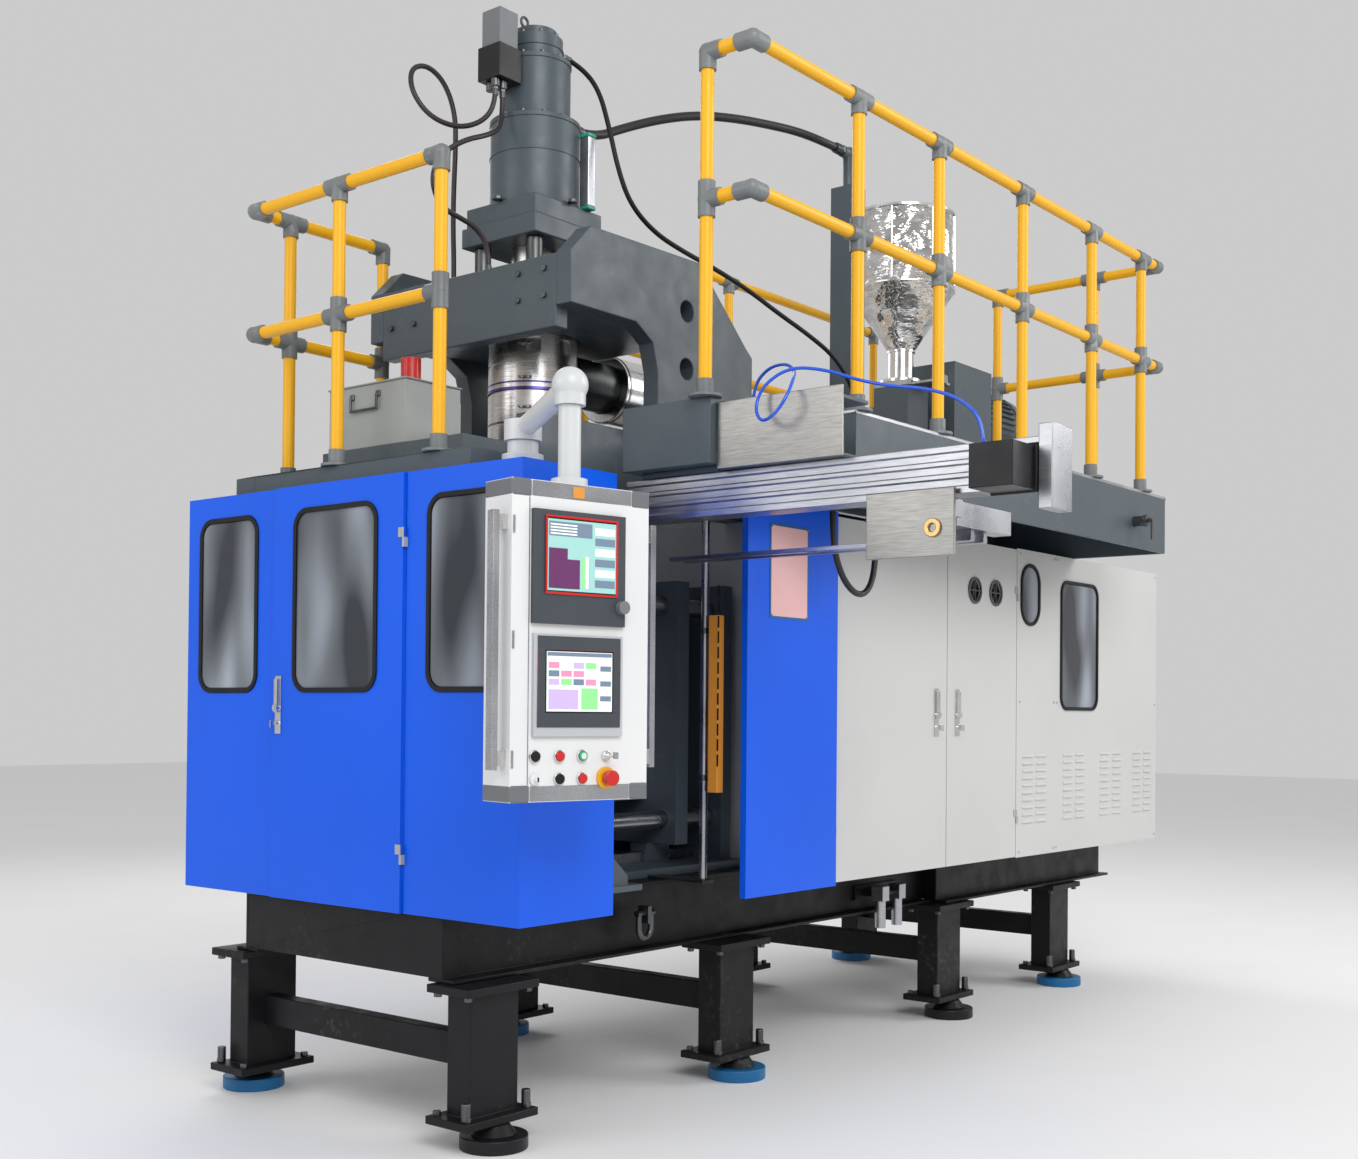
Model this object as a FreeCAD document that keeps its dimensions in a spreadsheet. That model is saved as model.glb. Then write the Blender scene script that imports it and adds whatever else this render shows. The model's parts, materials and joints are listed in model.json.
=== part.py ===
import FreeCAD, Part
import Sketcher
import math
import os

# Blow moulding machine with an accumulator head, an extruder on a raised platform and a take-out unit.
# Layout axes: X runs along the operator's side from the blue corner, Y goes in from the front face of
# the casing, Z goes up from the floor. At the end every sub-part is placed so that the document's
# origin is the middle of the machine's footprint on the floor.

SIZES = {
    # casing
    "casing_length": 4600, "casing_depth": 1640, "casing_height": 1350, "casing_base": 690,
    "sheet": 3, "panel_gap": 6, "door_depth": 24, "bay_left": 408, "bay_right": 1574,
    "cabinet_left": 1615, "door_split": 2446, "cabinet_door_end": 3055, "panel_split": 3437,
    "side_door_front": 500, "side_door_back": 1145, "safety_door_left": 1026,
    "window_sill": 675, "window_tall": 600, "window_radius": 65, "gasket_wide": 16, "pane_thick": 5,
    # base
    "frame_low": 493, "beam_tall": 240, "beam_wide": 114, "plate": 12, "axis_y": 823,
    "frame_half": 481, "wide_frame_half": 553, "frame_start": 18, "frame_joint": 2835, "frame_end": 4510,
    "leg_box": 100, "leg_plate_long": 300, "leg_plate_wide": 180, "leg_plate": 25, "leg_outset": 63,
    "pad_diameter": 208, "pad_thick": 42, "pad_outset": 50, "foot_gap": 75, "brace_tall": 100,
    # platform and rails
    "platform_tall": 255, "platform_front": -430, "platform_left": 1080, "platform_right": 3640,
    "walkway_back": 420, "deck": 12, "block_left": 540, "block_front": -257, "block_back": 95,
    "left_deck_top": 2103, "bed_start": 480, "bed_end": 4400, "bed_wide": 90, "rail_tall": 40,
    "tube": 42, "fitting": 54, "stub": 55, "top_rail": 3324, "mid_rail": 2874,
    "low_top_rail": 3026, "low_mid_rail": 2600,
    # head
    "head_x": 878, "cheek_thick": 67, "cheek_in": 432, "carrier_low": 2648, "carrier_tall": 175,
    "head_radius": 161, "flange_wide": 370, "flange_low": 2977, "flange_layer": 71,
    "cylinder_radius": 162, "cylinder_tall": 315, "gap_cylinder_radius": 127, "gap_cylinder_tall": 224,
    "cap_radius": 98, "cap_tall": 86,
    # extruder
    "barrel_z": 2540, "barrel_radius": 92, "barrel_bore": 46, "screw_radius": 45.2, "cover_radius": 128,
    "hopper_x": 3442, "hopper_radius": 256, "hopper_top": 3736, "hopper_tall": 366, "cone_tall": 290,
    "throat_radius": 62, "hopper_wall": 3, "gate_low": 2900, "stand_top": 3540,
    # take-out
    "takeout_x": 608, "beam_low": 1915, "takeout_beam_tall": 135, "takeout_front": -1350,
    # clamp
    "platen_thick": 70, "platen_wide": 800, "platen_low": 830, "platen_tall": 960, "mould_thick": 190,
    "mould_wide": 500, "mould_tall": 640, "mould_low": 990, "clamp_stroke": 160, "tie_radius": 32,
    "slide_gap": 0.4,
    # operator pendant
    "pendant_x": -95, "pendant_y": -270, "pendant_low": 1073, "pendant_tall": 844, "pendant_wide": 450,
    "pendant_deep": 128, "pendant_turn": -11.6, "drop_tube": 62, "elbow_z": 2195,
}

doc = FreeCAD.newDocument("BlowMouldingMachine")
sheet = doc.addObject("Spreadsheet::Sheet", "Sheet")
for row, (alias, value) in enumerate(SIZES.items(), start=1):
    sheet.set(f"A{row}", alias)
    sheet.set(f"B{row}", str(value))
    sheet.setAlias(f"B{row}", alias)
doc.recompute()


class Size:
    """A length with its value and the sheet expression that gives it."""

    def __init__(self, value, text=None):
        self.value = float(value)
        self.text = text or (f"{value}" if value >= 0 else f"(0 - {-value})")

    def join(self, other, sign, value, swap=False):
        other = as_size(other)
        first, last = (other, self) if swap else (self, other)
        return Size(value, f"({first.text} {sign} {last.text})")

    def __add__(self, other):
        return self.join(other, "+", self.value + as_size(other).value)

    def __radd__(self, other):
        return self.join(other, "+", as_size(other).value + self.value, swap=True)

    def __sub__(self, other):
        return self.join(other, "-", self.value - as_size(other).value)

    def __rsub__(self, other):
        return self.join(other, "-", as_size(other).value - self.value, swap=True)

    def __mul__(self, other):
        return self.join(other, "*", self.value * as_size(other).value)

    def __rmul__(self, other):
        return self.join(other, "*", as_size(other).value * self.value, swap=True)

    def __truediv__(self, other):
        return self.join(other, "/", self.value / as_size(other).value)

    def __neg__(self):
        return 0 - self

    def __float__(self):
        return self.value


def as_size(value):
    return value if isinstance(value, Size) else Size(value)


class Sheet:
    """Gives each aliased cell as a Size: D.casing_height."""

    def __getattr__(self, alias):
        return Size(SIZES[alias], f"Sheet.{alias}")


D = Sheet()
UP = (0, 0, 1)
ALONG = (1, 0, 0)
IN = (0, 1, 0)


def bind(item, path, value):
    item.setExpression(path, as_size(value).text)


def place(item, at, rotation=None):
    """Binds the item's position to the sheet and turns it."""
    point = FreeCAD.Vector(*[float(as_size(v)) for v in at])
    item.Placement = FreeCAD.Placement(point, rotation or FreeCAD.Rotation())
    for axis, value in zip("xyz", at):
        bind(item, f".Placement.Base.{axis}", value)
    return item


def box(size, at, rotation=None):
    """A block with its low corner at the point."""
    item = doc.addObject("Part::Box", "Block")
    for path, value in zip(("Length", "Width", "Height"), size):
        bind(item, path, value)
    return place(item, at, rotation)


def rod(radius, length, at, axis=UP):
    """A round bar that starts at the point and runs along the axis."""
    item = doc.addObject("Part::Cylinder", "Rod")
    bind(item, "Radius", radius)
    bind(item, "Height", length)
    return place(item, at, FreeCAD.Rotation(FreeCAD.Vector(*UP), FreeCAD.Vector(*axis)))


def cone(radius, end_radius, length, at, axis=UP):
    item = doc.addObject("Part::Cone", "Taper")
    bind(item, "Radius1", radius)
    bind(item, "Radius2", end_radius)
    bind(item, "Height", length)
    return place(item, at, FreeCAD.Rotation(FreeCAD.Vector(*UP), FreeCAD.Vector(*axis)))


def ball(radius, at, rotation=None):
    item = doc.addObject("Part::Sphere", "Ball")
    bind(item, "Radius", radius)
    return place(item, at, rotation)


def cut(base, *tools):
    """The base with every tool taken away."""
    for tool in tools:
        result = doc.addObject("Part::Cut", "Cut")
        result.Base, result.Tool = base, tool
        base = result
    return base


def fuse(*shapes):
    item = doc.addObject("Part::MultiFuse", "Joined")
    item.Shapes = list(shapes)
    return item


def span(a, b, at_y, size_y, z, tall):
    """A block from X = a to X = b."""
    return box((b - a, size_y, tall), (a, at_y, z))


def sketch_on(body, plane, points):
    """A closed outline through the points, each fixed to its sheet sizes."""
    sketch = body.newObject("Sketcher::SketchObject", "Outline")
    origin_plane = next(f for f in body.Origin.OriginFeatures if f.Role == plane)
    sketch.AttachmentSupport = [(origin_plane, "")]
    sketch.MapMode = "FlatFace"
    spots = [FreeCAD.Vector(float(as_size(u)), float(as_size(v)), 0) for u, v in points]
    for start, end in zip(spots, spots[1:] + spots[:1]):
        sketch.addGeometry(Part.LineSegment(start, end), False)
    count = len(spots)
    for index in range(count):
        sketch.addConstraint(Sketcher.Constraint("Coincident", index, 2, (index + 1) % count, 1))
    for index, (u, v) in enumerate(points):
        for kind, value in (("DistanceX", as_size(u)), ("DistanceY", as_size(v))):
            number = sketch.addConstraint(Sketcher.Constraint(kind, -1, 1, index, 1, float(value)))
            sketch.setExpression(f"Constraints[{number}]", value.text)
    return sketch


def padded(points, thick, at, plane="XZ_Plane"):
    """A plate with the outline's shape, as a body with a sketch and a pad."""
    body = doc.addObject("PartDesign::Body", "Plate")
    sketch = sketch_on(body, plane, points)
    pad = body.newObject("PartDesign::Pad", "Pad")
    pad.Profile = sketch
    bind(pad, "Length", thick)
    pad.Reversed = plane == "XZ_Plane"
    return place(body, at)


def turned(points, at, axis=UP):
    """A body of revolution from (radius, height) points."""
    body = doc.addObject("PartDesign::Body", "Turned")
    sketch = sketch_on(body, "XZ_Plane", points)
    spin = body.newObject("PartDesign::Revolution", "Revolution")
    spin.Profile = sketch
    spin.ReferenceAxis = (sketch, ["V_Axis"])
    spin.Angle = 360
    return place(body, at, FreeCAD.Rotation(FreeCAD.Vector(*UP), FreeCAD.Vector(*axis)))


def rounded_block(wide, tall, thick, radius, at, normal):
    """A window blank with round corners: it stands upright and its thickness lies along X or Y."""
    size = (thick, wide, tall) if normal == ALONG else (wide, thick, tall)
    block = box(size, at)
    doc.recompute()
    item = doc.addObject("Part::Fillet", "Rounded")
    item.Base = block
    edges = []
    for number, edge in enumerate(block.Shape.Edges, start=1):
        direction = edge.tangentAt(edge.FirstParameter)
        if abs(abs(direction.dot(FreeCAD.Vector(*normal))) - 1) < 1e-6:
            edges.append((number, float(radius), float(radius)))
    item.Edges = edges
    return item


NODES = {}


def node(label, *items):
    """One sub-part: its solids stay separate and move together."""
    item = doc.addObject("Part::Compound", label)
    item.Label = label
    item.Links = list(items)
    NODES[label] = item


# ---------------------------------------------------------------- levels
casing_top = D.casing_base + D.casing_height
frame_top = D.frame_low + D.beam_tall
platform_top = casing_top + D.platform_tall
carrier_top = D.carrier_low + D.carrier_tall
flange_top = D.flange_low + 2 * D.flange_layer
cylinder_top = flange_top + D.cylinder_tall
gap_cylinder_top = cylinder_top + D.gap_cylinder_tall
window_low = D.casing_base + D.window_sill
takeout_top = D.beam_low + D.takeout_beam_tall


# ---------------------------------------------------------------- base frame and legs
def i_beam(start, end, web_y):
    """A rolled beam along X: web between two flanges."""
    long = end - start
    web_tall = D.beam_tall - 2 * D.plate
    low = box((long, D.beam_wide, D.plate), (start, web_y - D.beam_wide / 2, D.frame_low))
    top = box((long, D.beam_wide, D.plate), (start, web_y - D.beam_wide / 2, frame_top - D.plate))
    web = box((long, D.plate, web_tall), (start, web_y - D.plate / 2, D.frame_low + D.plate))
    return fuse(low, web, top)


def cross_member(x, half):
    """A flat member between the two long beams' webs."""
    inner = half - D.plate / 2
    return box((D.plate, 2 * inner, D.beam_tall - 2 * D.plate),
               (x, D.axis_y - inner, D.frame_low + D.plate))


LEG_X = (135, 1350, 2880, 3965)


def leg_y(side, x):
    """The column's middle, just outside the beam's web."""
    half = D.frame_half if x < SIZES["frame_joint"] else D.frame_half + 5
    return D.axis_y + side * (half + D.leg_outset)


def base_frame():
    parts = []
    sections = ((D.frame_start, D.frame_joint, D.frame_half), (D.frame_joint, D.frame_end, D.wide_frame_half))
    for start, end, half in sections:
        parts += [i_beam(start, end, D.axis_y - half), i_beam(start, end, D.axis_y + half)]
        parts += [cross_member(start, half), cross_member(end - D.plate, half)]
    parts += [cross_member(Size(x), D.frame_half) for x in (700, 1350, 2100)]
    parts += [cross_member(Size(x), D.wide_frame_half) for x in (3965,)]
    node("base_frame", *parts)


def support_legs():
    parts = []
    column_low = D.foot_gap + D.leg_plate
    column_tall = D.frame_low - D.leg_plate - column_low
    for x in LEG_X:
        for side in (-1, 1):
            y = leg_y(side, x)
            plates = [box((D.leg_plate_long, D.leg_plate_wide, D.leg_plate),
                          (x - D.leg_plate_long / 2, y - D.leg_plate_wide / 2, z))
                      for z in (D.foot_gap, D.frame_low - D.leg_plate)]
            columns = [box((D.leg_box, D.leg_box, column_tall), (x + shift, y - D.leg_box / 2, column_low))
                       for shift in (-D.leg_box, Size(0))]
            parts.append(fuse(plates[0], columns[0], columns[1], plates[1]))
        near = leg_y(-1, x) + D.leg_box / 2
        far = leg_y(1, x) - D.leg_box / 2
        parts.append(box((60, far - near, D.brace_tall), (x - 30, near, 230)))
    node("support_legs", *parts)


def levelling_feet():
    """Round pads a little outside the columns, each with its screw, and the plate bolts."""
    parts = []
    for x in LEG_X:
        for side in (-1, 1):
            y = leg_y(side, x) + side * D.pad_outset
            parts.append(rod(D.pad_diameter / 2, D.pad_thick, (x, y, 0)))
            parts.append(cone(70, 45, D.foot_gap - D.pad_thick, (x, y, D.pad_thick)))
            for shift in (-125, 125):
                bolt_y = leg_y(side, x) + side * 60
                parts.append(rod(14, 55, (x + shift, bolt_y, D.foot_gap + D.leg_plate)))
    node("levelling_feet", *parts)


# ---------------------------------------------------------------- casing
HINGE_Z = (840, 1810)
SIDE_WINDOWS = {"front": (90, 310), "door": (616, 418), "back": (1238, 332)}
FRONT_WINDOWS = {"small": (3091, 184, 1706, 274, 88), "large": (3487, 401, 1335, 598, 65)}


def side_hole(name, depth, at_x):
    start, wide = SIDE_WINDOWS[name]
    return rounded_block(Size(wide), D.window_tall, depth, D.window_radius, (at_x, start, window_low), ALONG)


def side_glazing(name, pane_x):
    """A pane with the rubber gasket that holds it in the panel's hole."""
    start, wide = SIDE_WINDOWS[name]
    edge = D.gasket_wide
    pane = rounded_block(wide - 2 * edge, D.window_tall - 2 * edge, D.pane_thick, D.window_radius - edge,
                         (pane_x, start + edge, window_low + edge), ALONG)
    outer = rounded_block(Size(wide), D.window_tall, Size(14), D.window_radius, (pane_x - 6, start, window_low),
                          ALONG)
    inner = rounded_block(wide - 2 * edge, D.window_tall - 2 * edge, Size(20), D.window_radius - edge,
                          (pane_x - 9, start + edge, window_low + edge), ALONG)
    return pane, cut(outer, inner)


def front_glazing(name):
    start, wide, low, tall, radius = FRONT_WINDOWS[name]
    edge = 14
    at = (Size(start + edge), Size(-1), Size(low + edge))
    pane = rounded_block(Size(wide - 2 * edge), Size(tall - 2 * edge), D.pane_thick, radius - edge, at, IN)
    outer = rounded_block(Size(wide), Size(tall), Size(14), radius, (Size(start), Size(-8), Size(low)), IN)
    inner = rounded_block(Size(wide - 2 * edge), Size(tall - 2 * edge), Size(20), radius - edge,
                          (Size(start + edge), Size(-10), Size(low + edge)), IN)
    return pane, cut(outer, inner)


def tray(wide, tall, at, normal):
    """A folded sheet door: a face with four returned edges, open behind."""
    wall = D.sheet
    if normal == ALONG:
        outer = box((D.door_depth, wide, tall), at)
        inner = box((D.door_depth, wide - 2 * wall, tall - 2 * wall), (at[0] + wall, at[1] + wall, at[2] + wall))
    else:
        outer = box((wide, D.door_depth, tall), at)
        inner = box((wide - 2 * wall, D.door_depth, tall - 2 * wall), (at[0] + wall, at[1] + wall, at[2] + wall))
    return cut(outer, inner)


def corner_casing():
    """The blue corner: a side panel with a window and the front panel left of the mould bay."""
    wall, low, tall = D.sheet, D.casing_base, D.casing_height
    end = D.side_door_front - D.panel_gap
    side = cut(box((wall, end, tall), (0, 0, low)), side_hole("front", Size(20), Size(-8)))
    front = box((D.bay_left - wall, wall, tall), (wall, 0, low))
    lip = box((wall, 60, tall), (D.bay_left - wall, wall, low))
    top = box((D.bay_left - 2 * wall, end - wall, wall), (wall, wall, casing_top - wall))
    y = D.side_door_front - 3
    hinges = [fuse(rod(2.9, 30, (-13.2, y, z)), box((3, 8, 30), (-14.7, y - 8, z)), box((14.7, 3, 30), (-14.7, y - 8, z)))
              for z in HINGE_Z]
    node("corner_casing", side, front, lip, top, *hinges)


def rear_casing():
    wall, low, tall = D.sheet, D.casing_base, D.casing_height
    start = D.side_door_back + D.panel_gap
    side = cut(box((wall, D.casing_depth - start, tall), (0, start, low)), side_hole("back", Size(20), Size(-8)))
    back = box((D.cabinet_left - D.panel_gap - wall, wall, tall), (wall, D.casing_depth - wall, low))
    lip = box((60, wall, casing_top - frame_top), (wall, start, frame_top))
    node("rear_casing", fuse(side, back, lip))


def side_door():
    wide = D.side_door_back - D.side_door_front
    at = (Size(-10), D.side_door_front, D.casing_base)
    panel = cut(tray(wide, D.casing_height, at, ALONG), side_hole("door", Size(40), Size(-20)))
    pane, gasket = side_glazing("door", Size(-9))
    pins = [rod(2.9, 30, (-13.2, D.side_door_front - 3, z + 30.3)) for z in HINGE_Z]
    leaves = [box((3, 22, 30), (-13, D.side_door_front - 2, z + 30.3)) for z in HINGE_Z]
    plate = latch("side_door_latch", (Size(-10), D.side_door_back - 40, Size(1230)), ALONG)
    node("side_door", panel, pane, gasket, plate, *[fuse(pin, leaf) for pin, leaf in zip(pins, leaves)])


def latch(label, at, normal):
    """A lever latch as its own node; gives back its plate, with the key cylinder, for the door's node."""
    x, y, z = at
    if normal == ALONG:
        plate = fuse(box((5, 30, 190), (x - 5, y - 15, z)), rod(10, 12, (x - 17, y, z + 35), ALONG),
                     box((18, 4, 24), (x - 35, y - 2, z + 20)))
        lever = fuse(box((10, 18, 110), (x - 15.3, y - 9, z + 70)), rod(12, 14, (x - 19.3, y, z + 85), ALONG))
    else:
        plate = fuse(box((30, 5, 190), (x - 15, y - 5, z)), rod(10, 12, (x, y - 17, z + 35), IN),
                     box((4, 18, 24), (x - 2, y - 35, z + 20)))
        lever = fuse(box((18, 10, 110), (x - 9, y - 15.3, z + 70)), rod(12, 14, (x, y - 19.3, z + 85), IN))
    node(label, lever)
    return plate


def safety_door():
    """The blue sliding door in front of the right part of the mould bay, with its pull edge."""
    wide = D.bay_right - D.safety_door_left
    face = tray(wide, D.casing_height, (D.safety_door_left, -44, D.casing_base), IN)
    edge = box((16, 21, D.casing_height - 2 * D.sheet), (D.safety_door_left + D.sheet, -41, D.casing_base + D.sheet))
    hangers = [fuse(box((40, 8, 34), (x - 20, -34, casing_top)), rod(12, 12, (x, -26, casing_top + 22.3), IN))
               for x in (D.safety_door_left + 120, D.bay_right - 90)]
    node("safety_door", face, edge, *hangers)


def cabinet_casing():
    """Grey sheet housing of the power and control side: fixed front panels, ends, back, top and floor."""
    wall, low, tall = D.sheet, D.casing_base, D.casing_height
    start, end = D.cabinet_left, D.casing_length
    holes = {name: rounded_block(Size(w), Size(t), Size(30), r, (Size(x), Size(-15), Size(z)), IN)
             for name, (x, w, z, t, r) in FRONT_WINDOWS.items()}
    first = box((D.panel_split - D.cabinet_door_end - D.panel_gap, wall, tall), (D.cabinet_door_end + D.panel_gap, 0, low))
    last = box((end - D.panel_split, wall, tall), (D.panel_split, 0, low))
    left = box((wall, D.casing_depth - wall, casing_top - wall - frame_top), (start, 0, frame_top))
    right = box((wall, D.casing_depth - 2 * wall, tall), (end - wall, wall, low))
    back = box((end - start, wall, tall), (start, D.casing_depth - wall, low))
    top = box((end - wall - start, D.casing_depth - 40 - wall, wall), (start, 40, casing_top - wall))
    panels = [cut(first, holes["small"]), cut(last, holes["large"])]
    bridge = box((D.cabinet_door_end + D.panel_gap + 30 - start - wall, wall, 30), (start + wall, 40, casing_top - wall - 30))
    knuckles = [box((6, 3, 30), (start - 1, -3, z)) for z in HINGE_Z]
    pins = [rod(2.9, 30, (start + wall + 1, -3.2, z)) for z in HINGE_Z]
    knuckles += [box((20, 3, 30), (D.cabinet_door_end + 3, -3, z)) for z in HINGE_Z]
    pins += [rod(2.9, 30, (D.cabinet_door_end + 3, -3.2, z)) for z in HINGE_Z]
    hinges = [fuse(knuckle, pin) for knuckle, pin in zip(knuckles, pins)]
    node("cabinet_casing", *panels, left, right, back, top, bridge, *hinges)


def casing_windows():
    items = list(side_glazing("front", Size(0))) + list(side_glazing("back", Size(0)))
    items += list(front_glazing("small")) + list(front_glazing("large"))
    node("casing_windows", *items)


FAN_X = (2676, 2860)
FAN_Z = 1831


def cabinet_doors():
    low, tall = D.casing_base + 4, D.casing_height - 10
    left_wide = D.door_split - D.cabinet_left - D.panel_gap
    left = tray(left_wide, tall, (D.cabinet_left + D.panel_gap, 0, low), IN)
    left_leaf = [fuse(rod(2.9, 30, (D.cabinet_left + D.sheet + 1, -3.2, z + 30.3)),
                      box((20, 3, 30), (D.cabinet_left + D.sheet + 2, -3, z + 30.3))) for z in HINGE_Z]
    plate = latch("cabinet_latch_left", (D.door_split - 85, Size(0), Size(1225)), IN)
    node("cabinet_door_left", left, plate, *left_leaf)
    right_wide = D.cabinet_door_end - D.door_split - D.panel_gap
    right = tray(right_wide, tall, (D.door_split + D.panel_gap, 0, low), IN)
    parts = [fuse(rod(2.9, 30, (D.cabinet_door_end + 3, -3.2, z + 30.3)),
                  box((20, 3, 30), (D.cabinet_door_end - 18, -3, z + 30.3))) for z in HINGE_Z]
    parts.append(latch("cabinet_latch_right", (D.door_split + 85, Size(0), Size(1225)), IN))
    for x in FAN_X:
        right = cut(right, rod(46, 60, (x, -20, FAN_Z), IN))
        ring = cut(rod(56, 6, (x, -6, FAN_Z), IN), rod(46, 30, (x, -20, FAN_Z), IN))
        bars = [box((92, 3, 4), (x - 46, -5, FAN_Z - 2)), box((4, 3, 92), (x - 2, -5, FAN_Z - 46))]
        carrier = cut(rod(50, 15, (x, 3, FAN_Z), IN), rod(40, 30, (x, 0, FAN_Z), IN))
        spider = [box((84, 4, 6), (x - 42, 14, FAN_Z - 3)), rod(7, 14, (x, 4, FAN_Z), IN)]
        parts += [fuse(ring, *bars), fuse(carrier, *spider)]
    node("cabinet_door_right", right, *parts)
    for label, x in zip(("fan_left", "fan_right"), FAN_X):
        hub = cut(rod(15, 9, (x, 3, FAN_Z), IN), rod(7.4, 30, (x, -5, FAN_Z), IN))
        blades = [box((33, 3, 11), (x, 6, FAN_Z - 5.5), FreeCAD.Rotation(FreeCAD.Vector(*IN), turn))
                  for turn in range(0, 360, 72)]
        shifted = [cut(blade, rod(14, 30, (x, -5, FAN_Z), IN)) for blade in blades]
        node(label, fuse(hub, *shifted))


# ---------------------------------------------------------------- platform and guard rails
def platform():
    """Walkway with deep edge beams, the extruder's bed and the lower deck over the blue end."""
    p, top = D.platform_tall, platform_top
    left, right, front, back = D.platform_left, D.platform_right, D.platform_front, D.walkway_back
    inner = p - D.deck
    bed_back = D.axis_y + D.cheek_in - 30
    parts = [
        box((right - left, back - front, D.deck), (left, front, top - D.deck)),
        span(left, right, front, D.plate, casing_top, inner),
        box((D.plate, back - front - 2 * D.plate, inner), (right - D.plate, front + D.plate, casing_top)),
        box((D.plate, back - front - 2 * D.plate, inner), (left, front + D.plate, casing_top)),
        span(left, right, back - D.plate, D.plate, casing_top, inner),
        box((left - D.block_left, D.block_back - D.block_front, 203), (D.block_left, D.block_front, 2067)),
        span(D.bed_start, D.bed_end, back, D.bed_wide, casing_top, p),
        span(D.bed_start, D.bed_end, bed_back, D.bed_wide, casing_top, p),
        box((D.plate, bed_back - back - D.bed_wide, p), (D.bed_end - D.plate, back + D.bed_wide, casing_top)),
        box((440, 1060, D.left_deck_top - casing_top), (40, 260, casing_top)),
        box((660, 105, D.left_deck_top - casing_top), (40, 1320, casing_top)),
        box((264, 700, 87), (216, 480, D.left_deck_top)),
    ]
    cross_low = casing_top + D.rail_tall + 2
    parts += [box((40, back - front - 2 * D.plate, 40), (x, front + D.plate, cross_low)) for x in (1200, 2120)]
    parts.append(box((960, 60, D.rail_tall + 2), (1200, -230, casing_top)))
    rail_low = casing_top + 2
    parts.append(fuse(box((1060, 20, 8), (1100, -24, rail_low)), box((1060, 6, D.rail_tall), (1100, -10, rail_low))))
    node("platform", *parts)


def rail_graph():
    """Points of the railing and the pairs of points that a tube joins."""
    top, mid, base = D.top_rail, D.mid_rail, platform_top
    tubes = []

    def run(points, levels):
        for level in levels:
            line = [(x, y, level) for x, y in points]
            tubes.extend(zip(line, line[1:]))

    def post(x, y, foot, levels):
        line = [(x, y, foot)] + [(x, y, level) for level in levels]
        tubes.extend(zip(line, line[1:]))

    front = -400
    run([(548, -230), (548, front), (1134, front), (1660, front), (2300, front), (2920, front), (3430, front),
         (3610, front), (3610, -100), (3610, 390)], (mid, top))
    for x in (1134, 1660, 2300, 2920, 3430):
        post(Size(x), Size(front), base, (mid, top))
    post(Size(548), Size(-230), Size(2270), (mid, top))
    post(Size(3610), Size(-100), base, (mid, top))
    post(Size(3610), Size(390), base, (mid, top))
    rear = 1270
    run([(1640, rear), (2633, rear), (3900, rear)], (mid, top))
    for x in (1640, 2633, 3900):
        post(Size(x), Size(rear), base, (mid, top))
    low_levels = (D.low_mid_rail, D.low_top_rail)
    end, outer = 68, 1370
    run([(end, 430), (end, 918), (end, outer), (216, outer), (635, outer)], low_levels)
    for x, y in ((end, 430), (end, 918), (216, outer), (635, outer)):
        post(Size(x), Size(y), D.left_deck_top, low_levels)
    return tubes


def guard_rails():
    """Straight tubes that end in clamp fittings at every meeting point, and round base flanges."""
    tubes, fittings, meets = [], [], {}
    radius = D.tube / 2
    skewed = FreeCAD.Rotation(FreeCAD.Vector(3, 2, 5), 37)
    for start, end in rail_graph():
        a = FreeCAD.Vector(*[float(as_size(v)) for v in start])
        b = FreeCAD.Vector(*[float(as_size(v)) for v in end])
        along = (b - a).normalize()
        gap = float(D.stub)
        low = a + along * gap
        tubes.append(rod(radius, (b - a).Length - 2 * gap, tuple(low), tuple(along)))
        for point, way in ((a, along), (b, along * -1)):
            key = tuple(round(v, 3) for v in point)
            meets.setdefault(key, []).append(way)
    for spot, ways in meets.items():
        stubs = [rod(D.fitting / 2, D.stub, spot, tuple(way)) for way in ways]
        vertical = [way for way in ways if abs(way.z) > 0.9]
        foot = len(ways) == 1 and vertical
        if foot:
            fittings.append(fuse(stubs[0], rod(52, 8, spot)))
        else:
            fittings.append(fuse(ball(D.fitting / 2 + 1, spot, skewed), *stubs))
    node("guard_rail_tubes", *tubes)
    node("guard_rail_fittings", *fittings)


# ---------------------------------------------------------------- head
BRIDGE_PAST = 362


def head_carrier():
    """Bridge plate between the cheeks, its pillars and the square double flange of the cylinder."""
    half = D.cheek_in
    bridge = box((338 + BRIDGE_PAST, 2 * half, D.carrier_tall), (D.head_x - 338, D.axis_y - half, D.carrier_low))
    bridge = cut(bridge, rod(D.head_radius + 4, 400, (D.head_x, D.axis_y, D.carrier_low - 100)))
    bridge = cut(bridge, rod(D.barrel_radius + 4, 600, (D.head_x, D.axis_y, D.barrel_z), ALONG))
    ledge = box((60, 2 * half, 70), (D.head_x - 338, D.axis_y - half, D.carrier_low - 70))
    parts = [fuse(bridge, ledge)]
    for dx in (-130, 130):
        for dy in (-130, 130):
            parts.append(rod(30, D.flange_low - carrier_top, (D.head_x + dx, D.axis_y + dy, carrier_top)))
    for level, wide in ((0, D.flange_wide), (1, D.flange_wide - 24)):
        at = (D.head_x - wide / 2, D.axis_y - wide / 2, D.flange_low + level * D.flange_layer)
        parts.append(box((wide, wide, D.flange_layer), at))
    node("head_carrier", *parts)


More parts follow.
